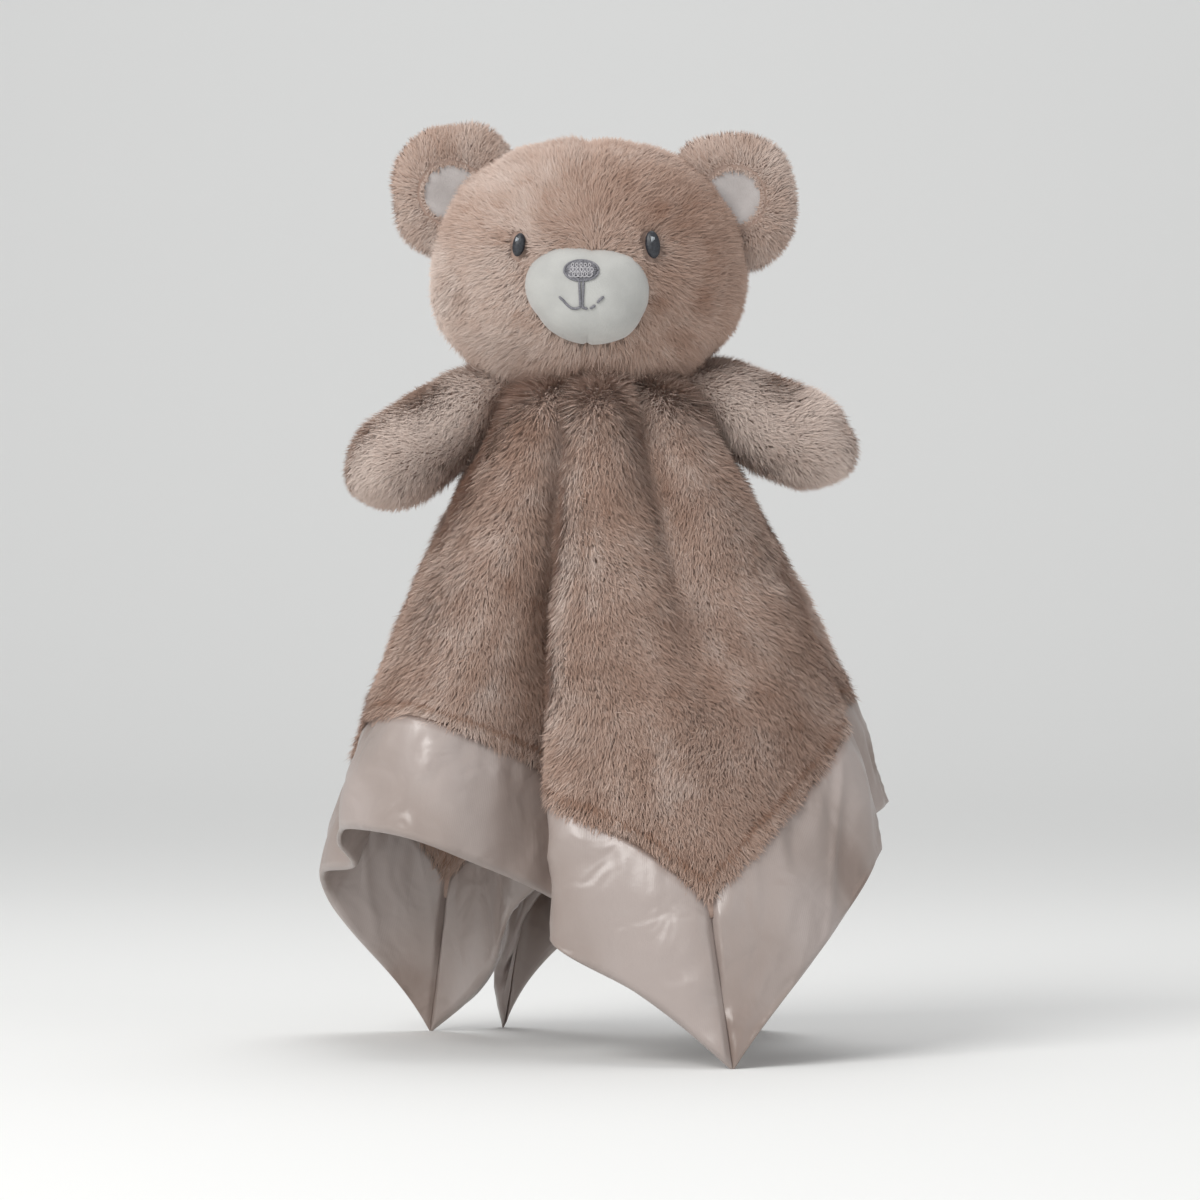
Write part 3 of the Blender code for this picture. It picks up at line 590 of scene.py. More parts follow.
def closedCurve(turn, table, column, span=0.0):
    # a smooth curve through the table's rows, closed over a full turn
    x = np.array([row[0] for row in table], dtype=float)
    y = np.array([row[column] for row in table], dtype=float)
    x = np.concatenate([x[-1:] - 360, x, x[:2] + 360])
    y = np.concatenate([y[-1:] - span, y, y[:2] + span])
    turn = np.mod(turn, 360.0)
    k = np.clip(np.searchsorted(x, turn, side="right") - 1, 1, len(x) - 3)
    slope = np.diff(y) / np.diff(x)
    gap = np.diff(x)
    first = (slope[k - 1] * gap[k] + slope[k] * gap[k - 1]) / (gap[k] + gap[k - 1])
    second = (slope[k] * gap[k + 1] + slope[k + 1] * gap[k]) / (gap[k] + gap[k + 1])
    t = (turn - x[k]) / gap[k]
    return ((2 * t**3 - 3 * t**2 + 1) * y[k] + (t**3 - 2 * t**2 + t) * gap[k] * first
            + (3 * t**2 - 2 * t**3) * y[k + 1] + (t**3 - t**2) * gap[k] * second)


def foldPlace(turn, run, column):
    reach = blanketLook["softTurn"] * bell(run, blanketLook["soft"])
    return sum(closedCurve(turn + reach * step, foldShares, column)
               for step in (-1, -0.5, 0, 0.5, 1)) / 5


def offTurn(turn, place):
    # turn from a place, from -180 to 180
    return np.mod(turn - place + 180, 360) - 180


def drape(turn, run):
    # points of the hanging cloth, from its turn and its distance from the middle
    look = blanketLook
    turn, run = np.broadcast_arrays(np.asarray(turn, float), np.asarray(run, float))
    bearing = np.radians(closedCurve(turn, gatherBearings, 1, -360.0))
    level = np.stack([np.cos(bearing), np.sin(bearing), np.zeros_like(bearing)], axis=-1)
    gather = look["spread"] / (look["side"] / math.sqrt(2))
    side = foldPlace(turn, run, 1) - gather * level[..., 0]
    back = foldPlace(turn, run, 2) - gather * level[..., 1]
    hang = np.stack([side, back, -np.sqrt(1 - side**2 - back**2)], axis=-1)
    near = np.minimum(run, look["soft"])
    total = (run - near)[..., None] * hang
    steps = 40
    for k in range(steps):
        turned = 1 - bell((k + 0.5) / steps * near, look["shoulder"])
        turned = turned[..., None]
        total = total + (near / steps)[..., None] * unit(level * (1 - turned) + hang * turned)
    below = np.clip((run - look["billowFrom"]) / (look["billowTo"] - look["billowFrom"]), 0, 1)
    swell = look["billow"] * (4 * below * (1 - below)) ** 2
    total[..., 0] += side * swell
    total[..., 1] += back * swell
    # the main valley lies a little to the left above the knee of the skirt
    valley = bell(offTurn(turn, look["valleyTurn"]), look["valleyWidth"])
    total[..., 0] -= look["valleyShift"] * valley * smoothStep(run, 10 * mm, 50 * mm) \
        * (1 - smoothStep(run, 120 * mm, 215 * mm))
    return total + neck


def hemRun(turn, half):
    # distance from the middle to a square ring of the flat cloth
    return half / np.cos(np.radians(np.mod(turn, 90.0) - 45))


def ripple(turn, run):
    # gathers near the neck, and shallow waves that grow towards the hem
    folds = 0
    for place, wide, height, fade in gatherFolds:
        grow = smoothStep(run, 8 * mm, 40 * mm) * (1 - smoothStep(run, fade * 0.45, fade))
        folds = folds + height * grow * bell(offTurn(turn, place), wide)
    around = np.radians(turn)
    tight = smoothStep(run, 8 * mm, 22 * mm) * (1 - smoothStep(run, 40 * mm, 95 * mm))
    folds = folds + blanketLook["pleat"] * tight * noiseAt(
        8.8, np.cos(around) * 4.2, np.sin(around) * 4.2, run / (60 * mm))
    radius = 40 / (2 * math.pi)
    slow = np.stack([np.cos(around) * radius, np.sin(around) * radius, run / (75 * mm)],
                    axis=-1)
    quick = slow * np.array([2.6, 2.6, 1.5])
    grow = smoothStep(run, 50 * mm, 210 * mm)
    return folds + blanketLook["ripple"] * grow * (softNoise(slow, 4.4)
                                                   + 0.35 * softNoise(quick, 7.9))


def cloth(turn, run, height):
    # the draped cloth, with a height over its middle surface
    turn, run = np.broadcast_arrays(np.asarray(turn, float), np.asarray(run, float))
    along = drape(turn + 0.4, run) - drape(turn - 0.4, run)
    below = drape(turn, run + mm) - drape(turn, run - mm)
    normal = unit(np.cross(along, below))
    return drape(turn, run) + normal * (height + ripple(turn, run))[..., None]


def sheetGrid(start, half):
    # turns and distances of a sheet's mesh, from a hole in its middle to a square edge
    count, rows = blanketLook["turns"], blanketLook["rows"]
    turn = (np.arange(count) * 360.0 / count)[None, :]
    share = (np.arange(rows) / (rows - 1))[:, None]
    return turn, share, start + (hemRun(turn, half) - start) * share


def addPlushSheet(name, node, side):
    look = blanketLook
    turn, _, run = sheetGrid(look["hole"], plushHalf - 1 * mm)
    near = cloth(turn, run, side * look["clear"])
    far = cloth(turn, run, side * look["thick"])
    points = np.concatenate([near.reshape(-1, 3), far[::-1].reshape(-1, 3)])
    made = addMesh(name, points, gridFaces(2 * look["rows"], look["turns"], True, True),
                   plushBacking)
    outwards(made)
    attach(made, "blanket")
    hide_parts(node)
    return made


outerPlush = addPlushSheet("blanketOuterPlush", "blanket_outer_plush", 1)
innerPlush = addPlushSheet("blanketInnerPlush", "blanket_inner_plush", -1)
print("plush sheets ready")


# satin border, folded over the hem and mitred at the corners

satinLook = {
    "leaf": 0.7 * mm,          # thickness
    "seat": 2.1 * mm,          # over the plush at the lip
    "puff": 1.3 * mm,          # how far it stands between its seams
    "roll": 1.1 * mm,          # the rounded hem
    "rows": 22,
    "stations": 200,
    "crowd": 0.11,             # stations crowd towards the mitres
    "mitreGap": 0.004,         # in degrees of turn
    "mitreDip": 0.8,
    "mitreWidth": 1.5 * mm,
    "around": 160 * mm,        # length along the border to a radian of turn
    "weave": 0.6,              # scale of the threads' map
    "weaveRow": 1.7,
    "pucker": 0.75 * mm,
    "puckerSize": 3.2 * mm,
    "mitrePucker": 0.7 * mm,
    "crumple": 3.2 * mm,
    "crumpleSize": 17 * mm,
    "ridge": 2.0 * mm,
    "ridgeSize": 9 * mm,
    # painted highlight and painted shade of the satin's crumples, from light to dark
    "light": (0.400, 0.338, 0.315),
    "middle": (0.335, 0.273, 0.247),
    "dark": (0.265, 0.200, 0.172),
    "crease": (0.42, 0.33, 0.28),      # painted shade where the satin meets the fur
    "creaseShadeEnd": (0.86, 0.82, 0.80),
    "roughness": 0.33,
    "wrinkle": 2.6 * mm,
}


def satinMaterial(look):
    made, tree, shader = plainMaterial("satinBorder", look["middle"], look["roughness"], {
        "Anisotropic": 0.5, "Sheen Weight": 0.12, "Specular IOR Level": 0.8})
    # painted highlight and shade: paler on the ridges of the crumples, darker in their hollows,
    # mixed with a random mottle
    _, relief, _ = ownMap(tree, "relief")
    share = addNode(tree, "Math", {1: 0.4}, {0: addNoise(tree, 17, 2, 0.5)})
    share.operation = "MULTIPLY"
    both = addNode(tree, "Math", {1: 0.6}, {0: relief, 2: share.outputs["Value"]})
    both.operation = "MULTIPLY_ADD"
    tone = addRamp(tree, both.outputs["Value"], ((0.30, look["dark"]), (0.44, look["middle"]),
                                                 (0.66, look["light"])))
    # painted warm shade in the crease where the satin meets the fur
    weave, _, rowsFromFur = ownMap(tree, "weave")
    fromFur = addNode(tree, "MapRange", {"From Max": 2.2}, {"Value": rowsFromFur})
    crease = addRamp(tree, fromFur.outputs["Result"],
                     ((0.0, look["crease"]), (0.45, look["creaseShadeEnd"]), (1.0, (1.0,) * 3)))
    tree.links.new(addProduct(tree, tone, crease), shader.inputs["Base Color"])
    # fine warp and weft, a soft crumple and broad wrinkles
    threads = addNode(tree, "TexWave", {"Scale": 1.0, "Distortion": 0.6}, {"Vector": weave})
    fine = addBump(tree, threads.outputs["Fac"], 0.25, 0.05 * mm)
    soft = addBump(tree, addNoise(tree, 150, 3), 0.5, 0.35 * mm, fine)
    broad = addBump(tree, addNoise(tree, 46, 2, 0.8), 0.7, look["wrinkle"], soft)
    tree.links.new(broad, shader.inputs["Normal"])
    return made


satinBorder = satinMaterial(satinLook)


def satinTurns(corner):
    look = satinLook
    share = np.arange(look["stations"]) / (look["stations"] - 1)
    share = share - look["crowd"] * np.sin(2 * math.pi * share)
    turn = corner + 90 * np.clip(share, 0, 1)
    turn[0] += look["mitreGap"]
    turn[-1] -= look["mitreGap"]
    return turn[None, :]


def satinGathers(turn, half, away, corner):
    # puckers along the plush seam and the mitre, and soft crumples over the whole leaf
    look = satinLook
    along = np.radians(turn) * look["around"]
    tight = bell(half - plushHalf, 7 * mm)
    gather = look["pucker"] * (0.35 + tight) * noiseAt(
        6.6, along / look["puckerSize"], half / (26 * mm), corner)
    gather = gather + look["mitrePucker"] * bell(away, 12 * mm) * noiseAt(
        1.9, away / (11 * mm), hemRun(turn, half) / (4.2 * mm), 3.3)
    swell = noiseAt(2.3, along / look["crumpleSize"] + half / (60 * mm),
                    half / (34 * mm) + turn * 0.02, corner / 9)
    slanted = noiseAt(5.5, along / look["ridgeSize"] - half / (16 * mm), half / (40 * mm),
                      corner / 7)
    gather = gather + look["crumple"] * swell + look["ridge"] * (0.35 - np.abs(slanted))
    return gather, swell


def addSatinStrip(name, node, corner):
    look = satinLook
    turn = satinTurns(corner)
    across = np.linspace(0, 1, look["rows"])[:, None]
    hem = blanketLook["side"] / 2
    half = lipHalf + (hem - look["roll"] - lipHalf) * across
    run = hemRun(turn, half)
    away = np.radians(np.minimum(turn - corner, corner + 90 - turn)) * run
    crease = 1 - look["mitreDip"] * bell(away, look["mitreWidth"])
    gather, swell = satinGathers(turn, half, away, corner)
    belly = np.sin(math.pi * np.clip((half - lipHalf) / (hem - lipHalf), 0, 1)) ** 0.8
    seatHeight = look["seat"] + (look["roll"] - look["seat"]) * smoothStep(across, 0.25, 1.0)
    lipTuck = 1 - 0.25 * bell(half - lipHalf, 2 * mm)
    height = (seatHeight * lipTuck + look["puff"] * belly) * crease + gather * crease
    outer = cloth(turn, run, height)
    inner = cloth(turn, run, -height - 0.2 * mm + 0.5 * gather)
    # the rounded hem between the two leaves
    bend = np.radians(np.linspace(60, -60, 5))[:, None]
    hemHalf = hem - look["roll"] * (1 - np.cos(bend))
    hemHeight = look["roll"] * np.sin(bend) * crease[-1:]
    rolled = cloth(turn, hemRun(turn, hemHalf), hemHeight)
    path = np.concatenate([outer, rolled, inner[::-1]])
    # the same path drawn in by the leaf's thickness
    innerHeight = np.maximum(height - look["leaf"], 0.1 * mm)
    runIn = hemRun(turn, np.minimum(half, hem - look["leaf"] - 0.6 * mm))
    rolledIn = cloth(turn, hemRun(turn, hemHalf - look["leaf"]), 0.3 * hemHeight)
    lining = np.concatenate([cloth(turn, runIn, innerHeight), rolledIn,
                             cloth(turn, runIn, -innerHeight)[::-1]])
    rows, count = path.shape[:2]
    points = np.concatenate([path.reshape(-1, 3), lining[::-1].reshape(-1, 3)])
    faces = gridFaces(2 * rows, count, True, False)
    for column in (0, count - 1):
        for row in range(rows - 1):
            back = 2 * rows - 1 - row
            faces.append((row * count + column, (row + 1) * count + column,
                          (back - 1) * count + column, back * count + column))
    made = addMesh(name, points, faces, satinBorder)
    addSatinMaps(made, turn, rows, swell, len(bend))
    outwards(made)
    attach(made, "blanket")
    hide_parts(node)
    return made


def addSatinMaps(made, turn, rows, swell, hemRows):
    # where each thread runs, and how high each crumple stands, which sets the painted highlight
    # and shade
    look = satinLook
    loops = np.empty(len(made.data.loops), dtype=np.int32)
    made.data.loops.foreach_get("vertex_index", loops)
    flat = np.stack(np.broadcast_arrays(np.radians(turn) * (look["around"] / mm),
                                        np.arange(rows)[:, None] * look["weaveRow"]), axis=-1)
    flat = np.concatenate([flat.reshape(-1, 2), flat[::-1].reshape(-1, 2)])
    weave = made.data.uv_layers.new(name="weave")
    weave.data.foreach_set("uv", (flat[loops] * look["weave"]).ravel())
    level = np.clip(0.46 + 0.5 * swell, 0, 1)
    level = np.concatenate([level, np.repeat(level[-1:], hemRows, axis=0), level[::-1]])
    level = np.concatenate([level.ravel(), level[::-1].ravel()])
    relief = made.data.uv_layers.new(name="relief")
    relief.data.foreach_set("uv", np.repeat(level[loops], 2))


satinStrips = [addSatinStrip("satin" + label, "satin_binding_" + node, corner)
               for label, node, corner in (("FrontLeft", "front_left", 0),
                                           ("BackLeft", "back_left", 90),
                                           ("BackRight", "back_right", 180),
                                           ("FrontRight", "front_right", 270))]
print("satin border ready")


# the blanket's fur

def nearNeck(root):
    return 1 - smoothStep(neck[2] - root[:, 2], 5 * mm, 22 * mm)


def blanketToneAndShade(root, up):
    # streaks of parted pile that run down from the neck
    away = root - neck
    angle = np.arctan2(away[:, 0], -away[:, 2])
    far = np.linalg.norm(away, axis=1)
    streaks = noiseAt(6.3, angle * 16, far / (75 * mm), np.sign(away[:, 1]) * 2.5)
    # painted highlight on a ridge right of the main valley, and painted shade on the flank left of
    # it
    front = 1.0 * (away[:, 1] < 0)
    ridge = 0.13 * bell(away[:, 0] + 12 * mm, 5 * mm) - 0.13 * bell(away[:, 0] + 26 * mm, 7 * mm)
    # darker towards the bottom, and painted light near the neck that lifts the shade there
    low = 0.10 * smoothStep(-away[:, 2], 95 * mm, 170 * mm)
    return 0.15 * streaks + ridge * front - low + 0.25 * (1 - smoothStep(far, 20 * mm, 65 * mm))


blanketFur = {
    "length": 4.9 * mm,
    "width": 0.34 * mm,
    "lift": 0.70,
    "liftSpread": 0.14,
    "bend": 0.66,
    "swirl": 0.75,
    "swirlSize": 26 * mm,
    "stray": 0.34,
    "clumpSize": 1.8 * mm,
    "clump": 0.12,
    "tone": 0.50,
    "toneAt": blanketToneAndShade,
    "lengthAt": lambda root: 1 + 0.8 * nearNeck(root),
    "liftAt": lambda root: 0.35 * nearNeck(root),
    "broken": 0.34,            # how much each blade catches its own light
}


def fallComb(points, up):
    out = points - neck
    out[:, 2] = 0
    return unit(out) * 0.35 + down


def sheetFur(side, label, parts, density, seed):
    # fur stands on the side of the sheet away from the other sheet
    count, rows = blanketLook["turns"], blanketLook["rows"]
    turn, share, run = sheetGrid(blanketLook["furFrom"], lipHalf - 0.3 * mm)
    points = cloth(turn, run, side * blanketLook["thick"]).reshape(-1, 3)
    edge = np.broadcast_to((1 - share) * lipHalf, (rows, count)).reshape(-1)
    faces = gridFaces(rows, count, False, True)
    skin = addMesh(label + "Skin", points, faces, plushBacking)
    if side < 0:
        skin.data.flip_normals()
    mesh = skin.data
    mesh.update()
    mesh.calc_loop_triangles()
    polygons = np.empty(len(mesh.loop_triangles), dtype=np.int32)
    mesh.loop_triangles.foreach_get("polygon_index", polygons)
    owner = np.array([face[0] % count for face in faces]) * parts // count
    wanted = dict(blanketFur, density=density)
    pieces = []
    for part in range(parts):
        chosen = (owner[polygons] == part).astype(float)
        pieces.append(growFur(f"{label}{part + 1}", skin, "blanket", wanted, fallComb,
                              lambda middle, facing: chosen, seed + part, edge))
    bpy.data.objects.remove(skin)
    return pieces


# blades to a square millimetre, outside and inside
outerFur = sheetFur(1, "blanketOuterFur", 6, 5.2, 11)
innerFur = sheetFur(-1, "blanketInnerFur", 2, 1.2, 31)
print("blanket fur ready")


# head

headLook = {
    "halfWidth": 55 * mm,
    "halfDepth": 44 * mm,
    "halfHeight": 42 * mm,
    "fullness": 0.82,
    "cheek": 0.10,             # wider below, narrower above
    "seat": 1.85 * mm,         # over the neck
    "groove": 1.6 * mm,        # the middle seam
    "grooveWidth": 3.0 * mm,
    "lumps": 0.8 * mm,
}
headHalves = np.array((headLook["halfWidth"], headLook["halfDepth"], headLook["halfHeight"]))
headMiddle = np.array((neck[0] - headOffset, neck[1],
                       neck[2] + headLook["seat"] + headLook["halfHeight"]))


def headSurface(turn, tilt):
    flat = np.abs(np.cos(tilt)) ** headLook["fullness"]
    rise = np.sign(np.sin(tilt)) * np.abs(np.sin(tilt)) ** headLook["fullness"]
    wide = 1 - headLook["cheek"] * rise
    return headMiddle + headHalves * np.stack([-flat * wide * np.cos(turn),
                                               -flat * wide * np.sin(turn), rise], axis=-1)


def headFrontAt(x, z):
    # depth of the head's front surface at a place
    rise = np.clip((z - headMiddle[2]) / headLook["halfHeight"], -0.999, 0.999)
    tilt = np.sign(rise) * np.arcsin(np.abs(rise) ** (1 / headLook["fullness"]))
    flat = np.cos(tilt) ** headLook["fullness"] * (1 - headLook["cheek"] * rise)
    across = np.clip((headMiddle[0] - x) / (headLook["halfWidth"] * flat), -0.999, 0.999)
    return headMiddle[1] - headLook["halfDepth"] * flat * np.sqrt(1 - across**2)


def headPlace(x, y, z):
    place = headSurface(math.atan2(-y, -x), math.asin(max(-1.0, min(1.0, z))))
    # a shallow groove down the middle seam of the forehead and under the chin
    height = (place[2] - headMiddle[2]) / headLook["halfHeight"]
    groove = headLook["groove"] * bell(place[0] - headMiddle[0], headLook["grooveWidth"]) \
        * smoothStep(abs(height + 0.1), 0.45, 0.75)
    place = place + unit(headMiddle - place) * groove
    lumps = headLook["lumps"] * softNoise(place / (24 * mm), 2.7)
    place = place + unit(place - headMiddle) * lumps
    return place[0], place[1], max(place[2], neck[2] + 2 * mm)


def addHead():
    head = addBall("headPlush", 72, 48, headPlace, plushBacking)
    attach(head, "head")
    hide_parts("head_front_left", "head_front_right", "head_back_left",
                "head_back_right", "head_fill")
    return head


head = addHead()

muzzleLook = {
    "middle": np.array((neck[0] - 3.6 * mm, 0, headMiddle[2] - 15 * mm)),
    "halfWidth": 22.5 * mm,
    "halfDepth": 14.5 * mm,
    "halfHeight": 17.7 * mm,
    "sink": 3 * mm,
    # how far the outline stands out from an oval, by its angle in degrees
    "outline": ((-175, 0.955), (-152, 0.885), (-118, 0.945), (-90, 1.00), (-52, 1.05),
                (-25, 0.98), (2, 1.00), (22, 1.045), (48, 1.085), (85, 0.945), (110, 1.06),
                (120, 1.10), (142, 1.12), (163, 1.045)),
    "bluntness": 2.5,          # flatter in front than a ball, which has 2
}
muzzleLook["middle"][1] = headFrontAt(muzzleLook["middle"][0], muzzleLook["middle"][2]) \
    + muzzleLook["sink"]

eyeLook = {
    "halfWidth": 2.8 * mm,
    "halfHeight": 5.1 * mm,
    "halfDepth": 1.9 * mm,
    "proud": 3.0 * mm,
    "height": headMiddle[2] + 3.2 * mm,
    "clear": 0.2 * mm,         # bare cloth round each eye
    "nearWidth": 6 * mm,       # how far an eye parts the pile
    "nearHeight": 9 * mm,
}
# place, size and lean of each eye, and how strongly it pushes the pile away
eyes = {
    "Left": (neck[0] - 27.2 * mm, 0.85, -0.16, 1.2),
    "Right": (neck[0] + 19.2 * mm, 1.0, 0.10, 1.8),
}


def muzzleOutline(across, up):
    angle = np.degrees(np.arctan2(up, across))
    return np.interp(angle, [row[0] for row in muzzleLook["outline"]],
                     [row[1] for row in muzzleLook["outline"]], period=360)


def besideMuzzle(x, z, grow=0.0):
    # 1 at the patch's edge, more outside it, less inside
    middle = muzzleLook["middle"]
    across = (x - middle[0]) / (muzzleLook["halfWidth"] + grow)
    up = (z - middle[2]) / (muzzleLook["halfHeight"] + grow)
    return np.hypot(across, up) / muzzleOutline(across, up)


def headKeep(points, facing):
    front = points[:, 1] < headMiddle[1] - 15 * mm
    keep = np.where(front & (besideMuzzle(points[:, 0], points[:, 2]) < 0.90), 0.0, 1.0)
    for x, _, _, _ in eyes.values():
        apart = np.hypot((points[:, 0] - x) / (eyeLook["halfWidth"] + eyeLook["clear"]),
                         (points[:, 2] - eyeLook["height"])
                         / (eyeLook["halfHeight"] + eyeLook["clear"]))
        keep = np.where(front & (apart < 1), 0.0, keep)
    return keep


def nearEye(points, x):
    return np.exp(-(((points[:, 0] - x) / eyeLook["nearWidth"]) ** 2
                    + ((points[:, 2] - eyeLook["height"]) / eyeLook["nearHeight"]) ** 2))


def headComb(points, up):
    # away from the muzzle in front, backwards round the sides, then down the back
    out = points - (muzzleLook["middle"] + np.array((0, 0, 6 * mm)))
    out[:, 1] *= 0.4
    depth = points[:, 1] - headMiddle[1]
    front = 1 - smoothStep(depth, -20 * mm, 4 * mm)[:, None]
    behind = smoothStep(depth, 2 * mm, 32 * mm)[:, None]
    wanted = (unit(out) + down * 0.35) * front \
        + np.array((0, 1.0, -0.25)) * (1 - front) * (1 - behind) + down * behind
    # down over the neck seam
    low = (1 - smoothStep(points[:, 2], neck[2] + 6 * mm, neck[2] + 18 * mm))[:, None]
    wanted = wanted + (unit(points - neck) * np.array((0.5, 0.5, 0)) + down * 1.6) * low
    # and away from the eyes
    for x, _, _, push in eyes.values():
        gap = points - np.array((x, 0, eyeLook["height"]))
        gap[:, 1] = 0
        wanted = wanted + unit(gap) * (push * nearEye(points, x)[:, None] * front)
    return wanted


# darker patches by the eyes, the muzzle and the chin: right of the neck, height, size
headDarkPatches = ((20.6 * mm, 306 * mm, 3.6 * mm), (20 * mm, 275 * mm, 3.4 * mm),
             (35 * mm, 275 * mm, 4.6 * mm), (-0.5 * mm, 252 * mm, 4 * mm),
             (-33 * mm, 297 * mm, 3.2 * mm), (27 * mm, 262 * mm, 5 * mm))


def headToneAndShade(root, up):
    # painted light and shade: paler to the left, towards the key light, and darker to the right
    tone = 0.19 * smoothStep(headMiddle[0] - root[:, 0], -12 * mm, 40 * mm) \
        - 0.10 * smoothStep(root[:, 0] - headMiddle[0], 5 * mm, 30 * mm)
    for x, z, size in headDarkPatches:
        apart = np.hypot(root[:, 0] - neck[0] - x, root[:, 2] - z)
        tone = tone - 0.34 * bell(apart, size) * (root[:, 1] < headMiddle[1])
    return tone


def headLength(root):
    # longer under the chin, shorter round the eyes
    length = 1 + 1.3 * (1 - smoothStep(root[:, 2], neck[2] + 4 * mm, neck[2] + 17 * mm))
    for x, _, _, _ in eyes.values():
        length = length * (1 - 0.45 * nearEye(root, x))
    return length


headFur = {
    "length": 4.9 * mm,
    "width": 0.32 * mm,
    "density": 6.4,
    "lift": 0.78,
    "liftSpread": 0.16,
    "bend": 0.68,
    "swirl": 1.0,
    "swirlSize": 17 * mm,
    "stray": 0.4,
    "clumpSize": 1.8 * mm,
    "clump": 0.14,
    "tone": 0.54,
    "broken": 0.32,
    "toneAt": headToneAndShade,
    "lengthAt": headLength,
}


def halfKeep(side):
    return lambda points, facing: headKeep(points, facing) * (
        (points[:, 0] - headMiddle[0]) * side > 0)


growFur("headFurLeft", head, "head", headFur, headComb, halfKeep(-1), 41)
growFur("headFurRight", head, "head", headFur, headComb, halfKeep(1), 42)
print("head ready")


# face: short-pile muzzle and embroidery

muzzleVelour = clothMaterial("muzzleVelour", ((0.43, 0.43, 0.415), (0.505, 0.505, 0.485)), 90,
                             0.85, 0.35, 1600, 0.25 * mm)


def muzzleFrontAt(x, z, grow):
    blunt = np.maximum(1 - besideMuzzle(x, z, grow) ** muzzleLook["bluntness"], 0.01)
    return muzzleLook["middle"][1] - (muzzleLook["halfDepth"] + grow) * np.sqrt(blunt)


def muzzlePlace(x, y, z):
    middle = muzzleLook["middle"]
    seam = math.exp(-((x / 0.04) ** 2)) * max(0, -z - 0.25) * 0.06
    apart = min(1.0, math.hypot(x, z))
    reach = float(muzzleOutline(x, z)) if apart > 0.02 else 1.0
    depth = math.copysign(math.sqrt(max(0.0, 1 - apart ** muzzleLook["bluntness"])), y)
    return (middle[0] + x * muzzleLook["halfWidth"] * reach,
            middle[1] + depth * muzzleLook["halfDepth"] * (1 - seam),
            middle[2] + z * muzzleLook["halfHeight"] * reach * (1 - seam))


def addMuzzle():
    muzzle = addBall("muzzleVelourPatch", 64, 40, muzzlePlace, muzzleVelour)
    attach(muzzle, "head")
    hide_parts("muzzle_patch", "muzzle_fill")


addMuzzle()


def threadMaterial(name, dark, light, shine, sheen=0.15):
    made, tree, shader = plainMaterial(name, dark, 0.42, {
        "Sheen Weight": sheen, "Specular IOR Level": shine})
    strand = addNoise(tree, 1400)
    tone = addRamp(tree, strand, ((0.3, dark), (0.7, light)), "LINEAR")
    tree.links.new(tone, shader.inputs["Base Color"])
    tree.links.new(addBump(tree, strand, 0.7, 0.12 * mm), shader.inputs["Normal"])
    return made


noseThread = threadMaterial("noseThread", (0.13, 0.13, 0.145), (0.24, 0.235, 0.26), 0.4)
paleThread = threadMaterial("paleThread", (0.34, 0.33, 0.35), (0.48, 0.47, 0.49), 0.4)
eyeThread = threadMaterial("eyeThread", (0.008, 0.009, 0.013), (0.030, 0.034, 0.043), 0.6, 0.0)
eyeShine = threadMaterial("eyeShine", (0.30, 0.33, 0.36), (0.52, 0.55, 0.58), 0.7)


def threadRun(name, routes, radius, finish, node, sides=6):
    # one thread along each route, all in one piece
    points, faces = [], []
    for route in routes:
        route = np.array(route)
        ahead = unit(np.gradient(route, axis=0))
        across = unit(np.cross(ahead, np.array((0.0, -1.0, 0.02))))
        out = np.cross(across, ahead)
        base = len(points)
        for k in range(len(route)):
            taper = 1.0 if 0 < k < len(route) - 1 else 0.55
            for side in range(sides):
                angle = 2 * math.pi * side / sides
                points.append(route[k] + radius * taper * (across[k] * math.cos(angle)
                                                           + out[k] * math.sin(angle)))
        for face in gridFaces(len(route), sides, False, True):
            faces.append(tuple(base + k for k in face))
        last = base + (len(route) - 1) * sides
        faces.append(tuple(base + side for side in range(sides)))
        faces.append(tuple(last + side for side in range(sides)))
    made = addMesh(name, points, faces, finish)
    outwards(made)
    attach(made, "head")
    if node:
        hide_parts(node)


noseLook = {
    "x": muzzleLook["middle"][0] - 2 * mm,
    "z": muzzleLook["middle"][2] + 8.4 * mm,
    "halfWidth": 6.2 * mm,
    "halfHeight": 3.8 * mm,
    "rows": 13,
    "thread": 0.42 * mm,
    "loopThread": 0.24 * mm,
    "loopWide": 0.75 * mm,
    "loopHigh": 0.85 * mm,
    "loopRows": ((-0.42, 5), (0.02, 7), (0.46, 5)),    # share of the height, and loops
    "stem": 9.6 * mm,
    "stemHalf": 0.75 * mm,
    "stemThread": 0.48 * mm,
    "smileHalf": 8.1 * mm,
    "smileRise": 3.7 * mm,
    "smileDip": 1.1 * mm,
    "smileThread": 0.5 * mm,
    "proud": 0.3 * mm,
    # where the thread shows, from the stem to the end; on the right the pile hides two places
    "smileSpans": {-1: ((0, 1),), 1: ((0, 0.28), (0.37, 0.62), (0.70, 1))},
}


def onMuzzle(x, z, proud):
    return (x, float(muzzleFrontAt(x, z, proud)), z)


